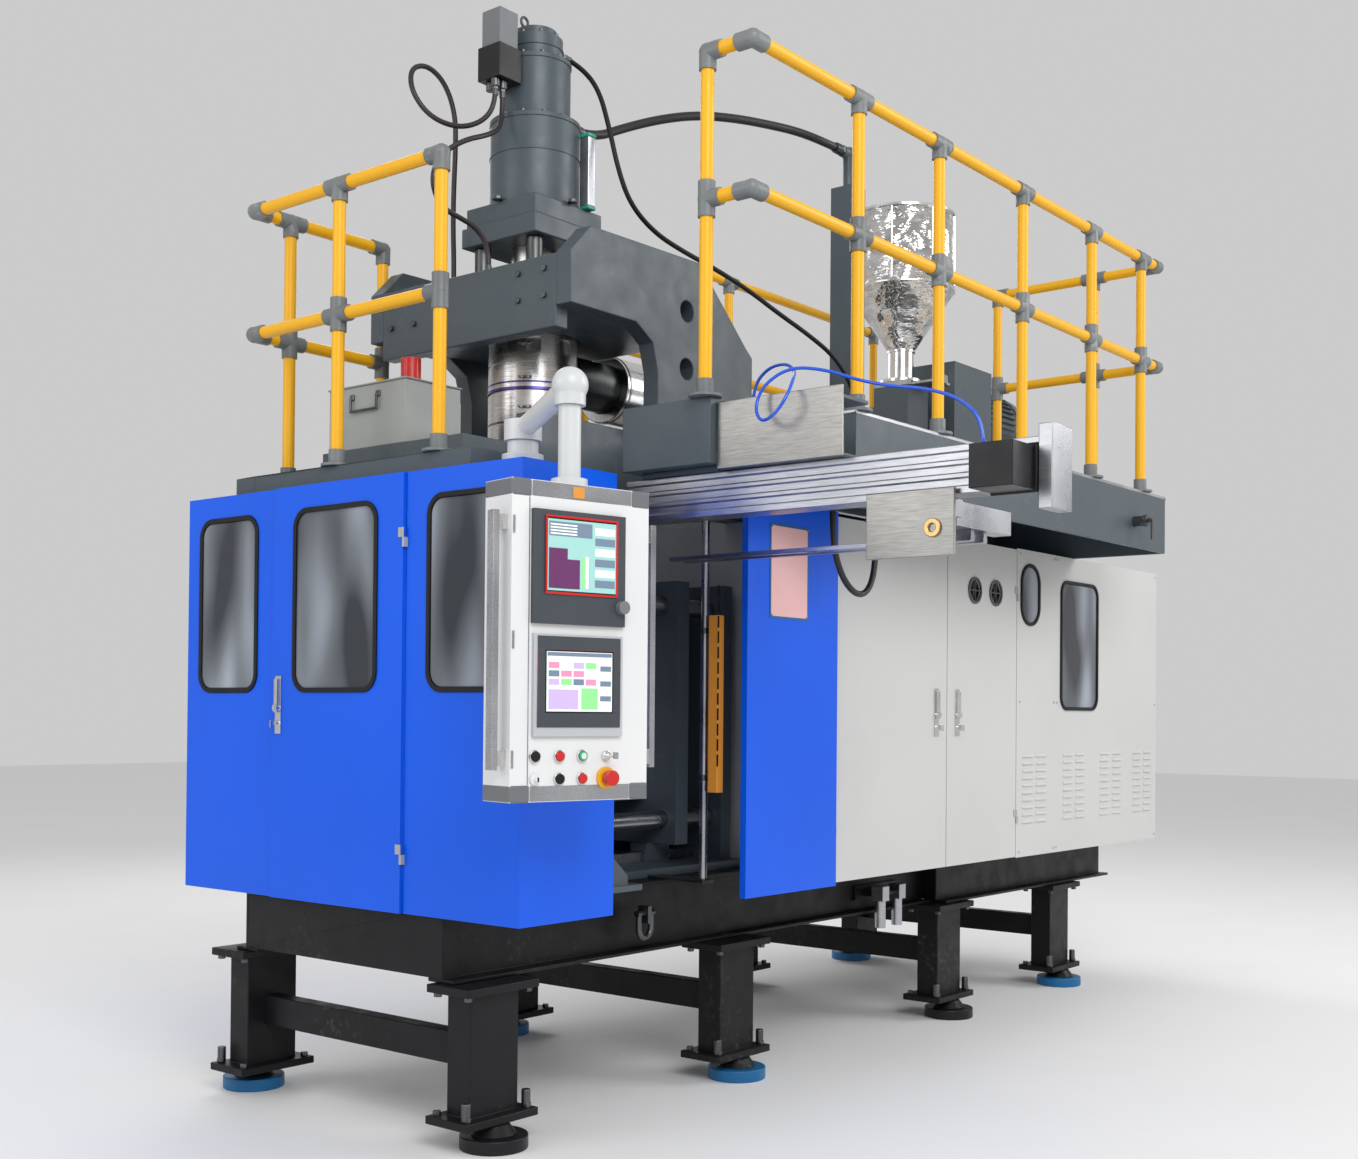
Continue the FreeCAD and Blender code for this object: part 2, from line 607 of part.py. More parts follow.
def cheek_plates():
    """Two flame-cut side plates with a sloped shoulder, an arch for the barrel and two covered holes."""
    x, base = D.head_x - 338, platform_top
    points = [(Size(0), D.carrier_low), (Size(0), carrier_top), (Size(95), carrier_top + 98), (Size(680), carrier_top + 105),
              (Size(960), Size(2672)), (Size(1000), Size(2640)), (Size(1000), base), (Size(448), base),
              (Size(448), D.carrier_low - 150), (Size(420), D.carrier_low - 55), (Size(330), D.carrier_low)]
    parts = []
    for y in (D.axis_y - D.cheek_in - D.cheek_thick, D.axis_y + D.cheek_in):
        plate = padded(points, D.cheek_thick, (x, y, 0))
        for z in (2739, 2533):
            plate = cut(plate, rod(38, 90, (1148, y - 10, z), IN))
        parts.append(plate)
    node("cheek_plates", *parts)


def die_head():
    """The accumulator head: stepped body, band grooves and square inspection windows."""
    r, top = D.head_radius, carrier_top - 10
    low, neck, lip = Size(2100), Size(1985), Size(1905)
    bore = 38
    points = [(Size(bore), lip), (Size(70), lip), (Size(70), neck), (Size(112), neck), (Size(112), low), (r, low)]
    for level in (2230, 2330, 2440, 2540):
        points += [(r, Size(level)), (r - 5, Size(level)), (r - 5, Size(level + 7)), (r, Size(level + 7))]
    points += [(r, top), (Size(80), top), (Size(80), D.flange_low), (Size(bore), D.flange_low)]
    body = turned(points, (D.head_x, D.axis_y, 0))
    for turn in range(0, 360, 45):
        angle = math.radians(turn)
        offset = FreeCAD.Vector(math.cos(angle), math.sin(angle), 0)
        pocket = box((40, 52, 56), (0, 0, 0))
        middle = FreeCAD.Vector(float(D.head_x), float(D.axis_y), 2580) + offset * (float(r) - 18)
        turn_z = FreeCAD.Rotation(FreeCAD.Vector(*UP), turn)
        corner = middle + turn_z.multVec(FreeCAD.Vector(0, -26, 0))
        place(pocket, tuple(corner), turn_z)
        body = cut(body, pocket)
    node("die_head", body)
    stem = rod(bore - D.slide_gap, 900, (D.head_x, D.axis_y, 1935))
    bell = cone(bore - 8, bore - 2, 42, (D.head_x, D.axis_y, 1893))
    node("die_mandrel", fuse(stem, bell))


def head_cylinder():
    """Push-out cylinder, die gap cylinder on top of it and the cap with its eye bolts."""
    x, y = D.head_x, D.axis_y
    lower = rod(D.cylinder_radius, D.cylinder_tall, (x, y, flange_top))
    upper = fuse(rod(D.gap_cylinder_radius, D.gap_cylinder_tall, (x, y, cylinder_top)),
                 rod(22, 60, (x + 110, y - 20, cylinder_top + 35), ALONG))
    cap = fuse(rod(D.cap_radius, D.cap_tall, (x, y, gap_cylinder_top)),
               rod(D.cap_radius - 22, 30, (x, y, gap_cylinder_top + D.cap_tall)))
    eyes = []
    for dx in (-60, 60):
        ring = doc.addObject("Part::Torus", "Eye")
        bind(ring, "Radius1", 17)
        bind(ring, "Radius2", 5)
        place(ring, (x + dx, y, gap_cylinder_top + D.cap_tall + 51),
              FreeCAD.Rotation(FreeCAD.Vector(1, 0, 0), 90))
        eyes.append(ring)
    node("head_cylinder", lower, upper, cap, *eyes)


def servo_valve():
    """Valve block on the die gap cylinder and the linear transducer beside the push-out cylinder."""
    x = D.head_x - D.gap_cylinder_radius
    y = D.axis_y
    block = box((110, 110, 120), (x - 110, y - 55, 3535))
    head = box((90, 90, 130), (x - 100, y - 45, 3655))
    ports = [rod(16, 30, (x - 55 + dx, y - 20 + dy, 3505)) for dx, dy in ((-40, 0), (-5, 0), (-20, 45))]
    rod_at = (D.head_x + 95, D.axis_y - 172)
    bar = box((38, 44, 250), (rod_at[0] - 19, rod_at[1] - 22, flange_top + 12))
    ends = [box((42, 48, 12), (rod_at[0] - 21, rod_at[1] - 24, z)) for z in (flange_top, flange_top + 262)]
    node("servo_valve", block, head, *ports, bar, *ends)


# ---------------------------------------------------------------- extruder
def extruder():
    x0 = D.head_x + D.head_radius
    y, z = D.axis_y, D.barrel_z
    end = Size(3640)
    barrel = cut(rod(D.barrel_radius, end - x0, (x0, y, z), ALONG), rod(D.barrel_bore, 4000, (x0 + 60, y, z), ALONG))
    covers = []
    for index in range(7):
        at = D.head_x + BRIDGE_PAST + 19 + index * 290
        covers.append(cut(rod(D.cover_radius, 270, (at, y, z), ALONG), rod(D.barrel_radius, 500, (at - 50, y, z), ALONG)))
    feet = [cut(box((60, 200, z - platform_top + 20), (at, y - 100, platform_top)),
                rod(D.cover_radius + 1, 300, (at - 100, y, z), ALONG)) for at in (x0 + 520, x0 + 1700)]
    node("extruder_barrel", barrel, *covers, *feet)
    core = rod(D.screw_radius - 12, end - x0 - 80, (x0 + 80, y, z), ALONG)
    node("extruder_screw", fuse(core, rod(D.screw_radius, 900, (x0 + 1600, y, z), ALONG)))
    gearbox = fuse(box((380, 370, 755), (end, y - 185, platform_top)), box((300, 430, 60), (end + 40, y - 215, platform_top)))
    shaft_hole = rod(D.screw_radius + 4, 60, (end - 10, y, z), ALONG)
    motor_z = Size(2830)
    motor = rod(165, 330, (end + 380, y, motor_z), ALONG)
    cowl = rod(172, 60, (end + 710, y, motor_z), ALONG)
    terminal = box((120, 120, 90), (end + 470, y - 60, motor_z + 150))
    stand = box((260, 240, motor_z - 165 - platform_top + 12), (end + 415, y - 120, platform_top))
    node("extruder_drive", cut(gearbox, shaft_hole), fuse(motor, cowl, terminal, stand))


def hopper():
    """Stainless hopper: straight shell, cone and outlet in one sheet, on a throat with a slide gate."""
    x, y, w = D.hopper_x, D.axis_y, D.hopper_wall
    r, neck = D.hopper_radius, D.throat_radius
    top = D.hopper_top
    shell = top - D.hopper_tall
    foot = shell - D.cone_tall
    low = D.gate_low + 24
    points = [(neck, foot), (r, shell), (r, top), (r - w, top), (r - w, shell + w / 2),
              (neck - w, foot + w / 2), (neck - w, foot)]
    spout = cut(rod(neck, foot - low, (x, y, low)), rod(neck - w, 400, (x, y, low - 10)))
    flange = cut(rod(neck + 40, 14, (x, y, low)), rod(neck - w, 60, (x, y, low - 10)))
    throat = cut(box((190, 190, D.gate_low - D.barrel_z - 70), (x - 95, y - 95, D.barrel_z + 70)),
                 rod(neck - w, 600, (x, y, D.barrel_z - 100)), rod(D.barrel_radius + D.slide_gap, 400, (x - 200, y, D.barrel_z), ALONG))
    rails = [box((22, 200, 24), (x + side, y - 100, D.gate_low)) for side in (-95, 73)]
    stand = box((105, 105, D.stand_top - platform_top), (2365, D.walkway_back, platform_top))
    pipe_x, pipe_y, elbow_up = 2417, D.walkway_back + 52, 150
    pipe = fuse(rod(24, elbow_up, (pipe_x, pipe_y, D.stand_top)), ball(30, (pipe_x, pipe_y, D.stand_top + elbow_up)),
                rod(24, 50, (pipe_x, pipe_y, D.stand_top + elbow_up), (-1, 0, 0)))
    node("feed_hopper", turned(points, (x, y, 0)), fuse(spout, flange), throat, *rails, fuse(stand, pipe))
    plate = cut(box((145.2, 320, 12), (x - 72.6, y - 230, D.gate_low + D.slide_gap)), rod(neck - w, 60, (x, y, D.gate_low - 20)))
    grip = box((60, 12, 40), (x - 30, y - 242, D.gate_low + D.slide_gap))
    node("hopper_gate", fuse(plate, grip))


# ---------------------------------------------------------------- take-out unit
def takeout():
    x, front = D.takeout_x, D.takeout_front
    wide = 90
    beam = box((wide, 135 - front - 40, D.takeout_beam_tall), (x, front + 40, D.beam_low))
    slots = [box((8, 3000, 22), (x - 1, front - 100, D.beam_low + level)) for level in (22, 58, 94)]
    side_plate = box((10, 450, 205), (x - 40, -712, takeout_top))
    bridge = [box((90, 450, 10), (x - 30, -712, takeout_top)), box((250, 376, 12), (x - 30, -638, takeout_top + 193))]
    hanger = box((140, 300, 2067 - takeout_top), (x - 20, -250, takeout_top))
    end_block = box((wide + 30, 40, 225), (x - 15, front, D.beam_low - 60))
    motor = fuse(box((130, 128, 118), (x - 140, front + 50, D.beam_low - 10)),
                 box((10, 138, 128), (x - 10, front + 45, D.beam_low - 15)))
    node("takeout_beam", cut(beam, *slots), side_plate, *bridge, end_block, motor, hanger)
    low = D.beam_low
    gap = D.slide_gap
    plate = box((12, 281, 186), (x - 22, -1065, low - 168))
    saddle = box((wide + 30, 200, 50), (x - 10, -1020, low - 50 - gap))
    crossbar = box((330, 60, 70), (x + wide + 20, -1000, low - 70 - gap))
    bearing = cut(rod(26, 8, (x - 30, -1000, low - 90), ALONG), rod(12, 40, (x - 40, -1000, low - 90), ALONG))
    node("takeout_carriage", plate, saddle, crossbar, bearing)
    for label, side in (("gripper_left", -1), ("gripper_right", 1)):
        middle = D.head_x + side * 38
        hook_top = low - 70 - 2 * gap
        arm = box((24, 1120, 14), (middle - 12, -985, hook_top - 32))
        hook = box((20, 60, 18), (middle - 10, -985, hook_top - 18))
        node(label, fuse(arm, hook))


# ---------------------------------------------------------------- equipment on and around the machine
def oil_tank():
    low = D.left_deck_top + 87
    tall = 210
    tank = cut(box((245, 390, tall), (220, 760, low)), box((235, 380, tall - 3), (225, 765, low + 4)))
    lid = box((255, 400, 6), (215, 755, low + tall))
    handle = fuse(box((8, 8, 45), (206, 890, low + tall - 80)), box((8, 8, 45), (206, 1022, low + tall - 80)),
                  box((8, 140, 8), (206, 890, low + tall - 88)))
    pads = [box((6, 20, 20), (214, y, low + tall - 45)) for y in (884, 1016)]
    red = rod(34, 90, (330, 860, low + tall + 6))
    node("oil_tank", tank, lid, fuse(handle, *pads), red)


def service_fittings():
    """Ball valve on the platform's edge beam, and the air filters and regulators on the base frame."""
    x, z = Size(3298), Size(2151)
    y = D.platform_front
    valve = fuse(rod(22, 45, (x, y - 45, z), IN), rod(26, 16, (x, y - 61, z), IN), rod(16, 70, (x - 35, y - 40, z), ALONG))
    lever = fuse(rod(9, 18, (x, y - 79.3, z), IN), box((16, 5, 90), (x - 8, y - 82, z - 84)))
    node("ball_valve_lever", lever)
    x, y, z = Size(2340), D.axis_y - D.frame_half - 122, Size(505)
    rail = box((330, 12, 60), (x - 60, y + 104, z + 40))
    brackets = [box((20, 50, 30), (x + dx, y + 54, z + 55)) for dx in (0, 130)]
    bodies = [fuse(box((50, 54, 60), (x - 15 + dx, y, z + 40)), rod(22, 110, (x + 10 + dx, y + 27, z - 70)))
              for dx in (0, 130)]
    link = rod(12, 80, (x + 35, y + 27, z + 70), ALONG)
    node("service_fittings", valve, rail, *brackets, *bodies, link)


def light_curtain():
    bar = box((34, 40, 600), (1000, 60, 1041))
    post = rod(14, 1240, (1017, 130, 745))
    clips = [fuse(box((24, 20, 20), (1005, 100, z)), rod(18, 20, (1017, 130, z))) for z in (1080, 1580)]
    clips = [cut(clip, rod(14, 60, (1017, 130, z - 20))) for clip, z in zip(clips, (1080, 1580))]
    foot = box((60, 245, 12), (987, 105, frame_top))
    node("light_curtain", bar, post, *clips, foot)


# ---------------------------------------------------------------- mould clamp
def clamp():
    y, thick = D.axis_y, D.platen_thick
    wide, low, tall = D.platen_wide, D.platen_low, D.platen_tall
    half = wide / 2
    ties = [(y - half + 70, low + 90), (y + half - 70, low + 90), (y - half + 70, low + tall - 90),
            (y + half - 70, low + tall - 90)]
    start, end = Size(120), Size(1560)
    bed = box((end - start, 2 * D.frame_half - D.plate - 10, 30), (start, y - D.frame_half + D.plate / 2 + 5, frame_top))
    ends = [box((60, wide, tall + low - frame_top - 30), (x, y - half, frame_top + 30)) for x in (start, end - 60)]
    tie_bars = [rod(D.tie_radius, end - start - 120, (start + 60, ty, tz), ALONG) for ty, tz in ties]
    rails = [box((end - start - 120, 44, 36), (start + 60, y + side - 22, frame_top + 30)) for side in (-250, 250)]
    gland = cut(rod(85, 70, (start + 60, y, 1310), ALONG), rod(35.4, 200, (start, y, 1310), ALONG))
    frame_left = cut(ends[0], rod(35.4, 200, (start - 50, y, 1310), ALONG))
    bracket = padded([(Size(0), Size(0)), (Size(220), Size(0)), (Size(220), Size(30)), (Size(60), Size(170)), (Size(0), Size(170))],
                     Size(40), (430, 150, frame_top + 20))
    pin_low = frame_top + 30
    guide = cut(box((90, 90, 60), (D.head_x - 45, y - 45, pin_low)),
                rod(20 + D.slide_gap, 200, (D.head_x, y, pin_low - 50)))
    sole = box((300, 220, 20), (400, 130, frame_top))
    node("clamp_frame", bed, frame_left, ends[1], *tie_bars, *rails, gland, fuse(sole, bracket), guide)
    face_left = D.head_x - D.clamp_stroke - D.mould_thick
    face_right = D.head_x + D.clamp_stroke + D.mould_thick
    for label, x in (("platen_left", face_left - thick), ("platen_right", face_right)):
        plate = box((thick, wide, tall), (x, y - half, low))
        shoes = [cut(box((thick + 60, 80, low - frame_top - 30 - D.slide_gap), (x - 30, y + side - 40, frame_top + 30 + D.slide_gap)),
                     box((400, 46, 37), (x - 100, y + side - 23, frame_top + 30))) for side in (-250, 250)]
        holes = [rod(D.tie_radius + D.slide_gap, 300, (x - 100, ty, tz), ALONG) for ty, tz in ties]
        parts = [cut(fuse(plate, *shoes), *holes), mould_half(label)]
        if label == "platen_left":
            parts.append(rod(35, 400, (x - 400, y, 1310), ALONG))
        node(label, *parts)
    node("blow_pin", fuse(rod(20, 150, (D.head_x, y, pin_low + 1)), cone(15, 10, 30, (D.head_x, y, pin_low + 151))))


def mould_half(label):
    """A mould block with half of the bottle's cavity."""
    thick, wide, tall = D.mould_thick, D.mould_wide, D.mould_tall
    left = label == "platen_left"
    x = D.head_x - D.clamp_stroke - thick if left else D.head_x + D.clamp_stroke
    block = box((thick, wide, tall), (x, D.axis_y - wide / 2, D.mould_low))
    centre = x + thick if left else x
    low, top = D.mould_low - 5, D.mould_low + tall + 5
    points = [(Size(0), low), (Size(24), low), (Size(24), D.mould_low + 60), (Size(130), D.mould_low + 90),
              (Size(130), D.mould_low + 440), (Size(40), D.mould_low + 530), (Size(40), top), (Size(0), top)]
    return cut(block, turned(points, (centre, D.axis_y, 0)))


# ---------------------------------------------------------------- operator pendant
def pendant():
    px, py = D.pendant_x, D.pendant_y
    low, tall, wide, deep = D.pendant_low, D.pendant_tall, D.pendant_wide, D.pendant_deep
    top = low + tall
    base_x, base_y = 90, 90
    node("pendant_bracket", fuse(rod(62, 24, (base_x, base_y, casing_top)), rod(46, 40, (base_x, base_y, casing_top + 24))))
    reach = FreeCAD.Vector(float(px) - base_x, float(py) - base_y, float(D.elbow_z) - float(casing_top) - 100)
    hub = rod(56, 60, (base_x, base_y, casing_top + 64.3))
    arm = rod(30, reach.Length, (base_x, base_y, casing_top + 100), tuple(reach))
    node("pendant_arm", fuse(hub, arm, ball(50, (px, py, D.elbow_z)), rod(43, 56, (px, py, D.elbow_z - 56))))

    turn = FreeCAD.Rotation(FreeCAD.Vector(*UP), SIZES["pendant_turn"])
    middle = FreeCAD.Vector(float(px), float(py), 0)

    def local(x, y, z):
        """A point given from the pendant's middle: x to the right, y in from its middle plane."""
        flat = middle + turn.multVec(FreeCAD.Vector(float(as_size(x)), float(as_size(y)), 0))
        return (flat.x, flat.y, z)

    def slab(size, at):
        return box(size, local(*at), turn)

    front = -deep / 2
    cap = 44
    shell = slab((wide, deep, tall - 2 * cap), (-wide / 2, front, low + cap))
    caps = [slab((wide, deep, Size(cap)), (-wide / 2, front, z)) for z in (low, top - cap)]
    tube = fuse(rod(D.drop_tube / 2, D.elbow_z - 56.3 - top, (px, py, top)), rod(50, 22, (px, py, top)))
    rails = []
    for side in (-1, 1):
        x = side * (wide / 2 + 34) - 9
        rails.append(slab((Size(18), Size(30), tall - 170), (x, front + 20, low + 85)))
        for z in (low + 95, top - 135):
            rails.append(slab((25.0, 30, 40), (side * (wide / 2 + 12.5) - 12.5, front + 20, z)))
    upper = slab((300, 14, 300), (-165, front - 14, low + 468))
    lower = slab((290, 12, 270), (-160, front - 12, low + 172))
    glass = [slab((232, 2, 196), (-128, front - 16, low + 552)), slab((226, 2, 170), (-128, front - 14, low + 232))]
    out = turn.multVec(FreeCAD.Vector(0, -1, 0))

    def round_part(radius, x, z, start, length):
        """A disc or stem on a control's axis, from its start height above the panel."""
        return rod(radius, length, local(x, front - start, z), tuple(out))

    columns = (-150, -72, 2, 82)
    upper_row, lower_row = low + 120, low + 60
    pushes = {"black_button_upper": (columns[0], upper_row), "red_button_upper": (columns[1], upper_row),
              "green_button": (columns[2], upper_row), "black_button_lower": (columns[1], lower_row),
              "red_button_lower": (columns[2], lower_row)}
    push_radius, collar_tall, travel = 13, 8, 4
    collars = []
    for label, (x, z) in pushes.items():
        node(label, round_part(push_radius, x, z, travel + 0.5, 8))
        collars.append(cut(round_part(push_radius + 4, x, z, 0, collar_tall),
                           round_part(push_radius + 0.4, x, z, -1, collar_tall + 2)))
    x = columns[3]
    node("key_switch", fuse(round_part(14, x, upper_row, 0.5, 10), round_part(4, x, upper_row, 10.5, 26)))
    node("white_selector", fuse(round_part(15, columns[0], lower_row, 0.5, 8),
                                round_part(7, columns[0], lower_row, 8.5, 12)))
    node("emergency_stop", fuse(round_part(12, x, lower_row, 5, 12), round_part(21, x, lower_row, 16, 22)))
    collars.append(cut(round_part(30, x, lower_row, 0, 9), round_part(12.4, x, lower_row, -1, 12)))
    node("dial_knob", round_part(18, 118, low + 520, 14.5, 22))
    node("pendant_box", fuse(shell, *caps), tube, *rails, upper, lower, *glass, *collars)


# ---------------------------------------------------------------- hoses and cables
def arc_route(points, radius_share=0.45):
    """Straight runs joined by tangent arcs, as one wire, and the radii used."""
    spots = [FreeCAD.Vector(*p) for p in points]
    edges, radii = [], []
    last = spots[0]
    for before, corner, after in zip(spots, spots[1:], spots[2:]):
        come = (corner - before).normalize()
        go = (after - corner).normalize()
        half = come.getAngle(go) / 2
        run = radius_share * min((corner - before).Length, (after - corner).Length)
        radii.append(run / math.tan(half))
        start, end = corner - come * run, corner + go * run
        inward = (go - come).normalize()
        middle = corner + inward * (radii[-1] / math.cos(half) - radii[-1])
        if (start - last).Length > 1e-6:
            edges.append(Part.LineSegment(last, start).toShape())
        edges.append(Part.Arc(start, middle, end).toShape())
        last = end
    edges.append(Part.LineSegment(last, spots[-1]).toShape())
    return Part.Wire(edges), radii


HOSES = {
    # name: (diameter, points from end to end)
    "head_hose": (34, [(1048, 803, 3470), (1165, 803, 3470), (1310, 768, 3545), (1460, 706, 3610),
                       (1620, 655, 3660), (1800, 608, 3690), (1975, 566, 3706), (2130, 528, 3714),
                       (2262, 472, 3690), (2367, 472, 3690)]),
    "head_cable": (18, [(961, 763, 3700), (1003, 718, 3668), (1018, 640, 3570), (1020, 590, 3420), (1035, 560, 3270),
                        (1080, 540, 3150), (1190, 520, 3070), (1330, 500, 3030), (1500, 480, 3000), (1680, 450, 2950),
                        (1860, 430, 2890), (2030, 410, 2840), (2190, 380, 2770), (2290, 360, 2660), (2335, 352, 2520),
                        (2350, 350, 2400), (2350, 350, 2295)]),
    "servo_hose": (18, [(656, 803, 3505), (656, 803, 3440), (610, 822, 3370), (520, 850, 3330), (420, 885, 3350),
                        (365, 915, 3430), (385, 940, 3520), (470, 950, 3560), (550, 945, 3520), (595, 940, 3420),
                        (606, 950, 3300), (616, 968, 3170), (630, 985, 3040), (650, 1000, 2920), (650, 1000, 2823)]),
    "return_hose": (18, [(691, 803, 3505), (691, 803, 3425), (655, 779, 3350), (565, 745, 3295), (460, 748, 3250),
                         (385, 778, 3190), (352, 790, 3115), (368, 792, 3045), (412, 786, 3005),
                         (470, 777, 2992), (530, 768, 2975), (575, 762, 2935), (590, 760, 2880),
                         (590, 760, 2823)]),
    "drop_hose": (22, [(1300, -200, 2040), (1300, -200, 1950), (1308, -204, 1860), (1342, -212, 1782),
                       (1404, -216, 1732), (1474, -215, 1726), (1534, -210, 1768), (1568, -204, 1850),
                       (1576, -200, 1945), (1576, -200, 2040)]),
    "air_tube": (10, [(700, -300, 2255), (700, -300, 2320), (696, -360, 2370), (680, -440, 2370), (640, -500, 2330),
                      (570, -540, 2290), (520, -560, 2240), (500, -530, 2180), (510, -470, 2160), (530, -430, 2210),
                      (545, -450, 2280), (580, -520, 2330), (630, -610, 2320), (660, -710, 2280), (665, -820, 2250),
                      (660, -930, 2230), (650, -1040, 2190), (645, -1120, 2120), (645, -1120, 2050)]),
}


def hoses():
    for label, (diameter, points) in HOSES.items():
        wire, radii = arc_route(points)
        start = wire.Edges[0]
        circle = Part.Circle(start.valueAt(start.FirstParameter), start.tangentAt(start.FirstParameter), diameter / 2)
        profile = Part.Wire(circle.toShape())
        tube = wire.makePipeShell([profile], True, False)
        item = doc.addObject("Part::Feature", "Hose")
        item.Shape = tube
        expected = math.pi * diameter ** 2 / 4 * wire.Length
        print(label, "length", round(wire.Length), "smallest radius", round(min(radii)), "of diameter", diameter,
              "volume ratio", round(tube.Volume / expected, 4))
        node(label, item)


# ---------------------------------------------------------------- build, check and write
for build in (base_frame, support_legs, levelling_feet, corner_casing, rear_casing, side_door, safety_door,
              cabinet_casing, casing_windows, cabinet_doors, platform, guard_rails, head_carrier, cheek_plates,
              die_head, head_cylinder, servo_valve, extruder, hopper, takeout, oil_tank, service_fittings,
              light_curtain, pendant, hoses):
    build()
clamp()
doc.recompute()

low = FreeCAD.Vector(1e9, 1e9, 1e9)
high = low * -1
for item in NODES.values():
    bounds = item.Shape.BoundBox
    low = FreeCAD.Vector(min(low.x, bounds.XMin), min(low.y, bounds.YMin), min(low.z, bounds.ZMin))
    high = FreeCAD.Vector(max(high.x, bounds.XMax), max(high.y, bounds.YMax), max(high.z, bounds.ZMax))
footprint_middle = FreeCAD.Vector((low.x + high.x) / 2, (low.y + high.y) / 2, low.z)
for item in NODES.values():
    item.Placement = FreeCAD.Placement(footprint_middle * -1, FreeCAD.Rotation())
doc.recompute()

for item in doc.Objects:
    if "Invalid" in item.State or "Error" in item.State:
        raise RuntimeError(f"{item.Name} could not be built: {item.State}")
for label, item in NODES.items():
    if item.Shape.isNull() or not item.Shape.isValid() or not item.Shape.Solids:
        raise RuntimeError(f"{label} has no valid solid")

os.makedirs("parts", exist_ok=True)
for label, item in NODES.items():
    item.Shape.exportStep(f"parts/{label}.step")
print(len(NODES), "sub-parts, middle of the footprint at", footprint_middle, "top", high.z)
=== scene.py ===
"""Blow moulding machine: finishes, trim, glass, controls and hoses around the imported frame."""

import json
import math

import bmesh
import bpy
from mathutils import Matrix, Vector

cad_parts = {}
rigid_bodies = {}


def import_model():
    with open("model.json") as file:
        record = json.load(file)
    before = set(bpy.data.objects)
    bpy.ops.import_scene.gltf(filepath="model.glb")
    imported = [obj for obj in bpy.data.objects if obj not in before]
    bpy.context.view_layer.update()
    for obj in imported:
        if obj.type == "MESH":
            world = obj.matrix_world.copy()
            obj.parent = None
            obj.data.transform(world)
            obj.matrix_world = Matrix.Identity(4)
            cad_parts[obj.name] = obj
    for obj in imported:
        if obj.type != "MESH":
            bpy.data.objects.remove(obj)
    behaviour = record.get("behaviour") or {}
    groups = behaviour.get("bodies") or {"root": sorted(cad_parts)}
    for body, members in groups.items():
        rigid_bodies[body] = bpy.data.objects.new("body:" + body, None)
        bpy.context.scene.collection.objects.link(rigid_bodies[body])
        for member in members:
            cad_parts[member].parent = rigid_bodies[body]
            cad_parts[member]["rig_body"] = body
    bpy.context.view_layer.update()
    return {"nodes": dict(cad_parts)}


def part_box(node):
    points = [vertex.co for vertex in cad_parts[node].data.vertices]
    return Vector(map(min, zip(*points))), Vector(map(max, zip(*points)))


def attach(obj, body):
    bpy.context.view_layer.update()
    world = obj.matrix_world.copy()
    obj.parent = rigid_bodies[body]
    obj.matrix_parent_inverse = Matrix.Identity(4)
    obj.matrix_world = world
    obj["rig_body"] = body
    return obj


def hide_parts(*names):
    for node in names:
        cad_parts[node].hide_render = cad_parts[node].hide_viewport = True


bl_info = {
    "name": "Blow moulding machine",
    "version": (1, 0, 0),
    "blender": (4, 5, 0),
    "location": "View3D > Sidebar > Moulding",
    "description": "Dresses the frame of an extrusion blow moulding machine",
    "category": "Object",
}

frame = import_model()
CASING_DEPTH = 1.640
CORNER = Vector((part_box("rear_casing")[0].x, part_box("rear_casing")[1].y - CASING_DEPTH, 0.0))
PENDANT_TURN = math.radians(-11.6)
PENDANT_MIDDLE = (-95.0, -270.0)
PENDANT_LOW = 1073.0
PENDANT_FRONT = -64.0
HEAD_AXIS = (878.0, 823.0)
HOPPER_AXIS = (3442.0, 823.0)
SMOOTH_ANGLE = math.radians(33)
BEVEL_ANGLE = math.radians(38)
WELD = 1e-5
FLAT = 0.02
# widths of the rounded edges, in metres
BLADE_EDGE = 0.0004
FINE_EDGE = 0.001
PANEL_EDGE = 0.0014
HANDLE_EDGE = 0.0015
SHEET_EDGE = 0.0016
BUTTON_EDGE = 0.0018
BAR_EDGE = 0.002
FITTING_EDGE = 0.0025
PLATE_EDGE = 0.003
BLOCK_EDGE = 0.004
CASTING_EDGE = 0.005
# machine millimetres
BARREL_LEVEL = 2540
BASE_MIDDLE = 823
LEG_PLACES = (135, 1350, 2880, 3965)
LEG_BOLT_SPREAD = (125, 66)
LEG_BOLT = (0.013, 0.014)


def at(x, y, z):
    """A point of the machine, in millimetres from its near corner, as a point of the frame."""
    return CORNER + Vector((x, y, z)) / 1000


def on_pendant(x, y, z):
    """A point from the pendant's middle, x to the right and y in, turned as the pendant is."""
    cos, sin = math.cos(PENDANT_TURN), math.sin(PENDANT_TURN)
    left, inner = PENDANT_MIDDLE
    return at(left + x * cos - y * sin, inner + x * sin + y * cos, PENDANT_LOW + z)


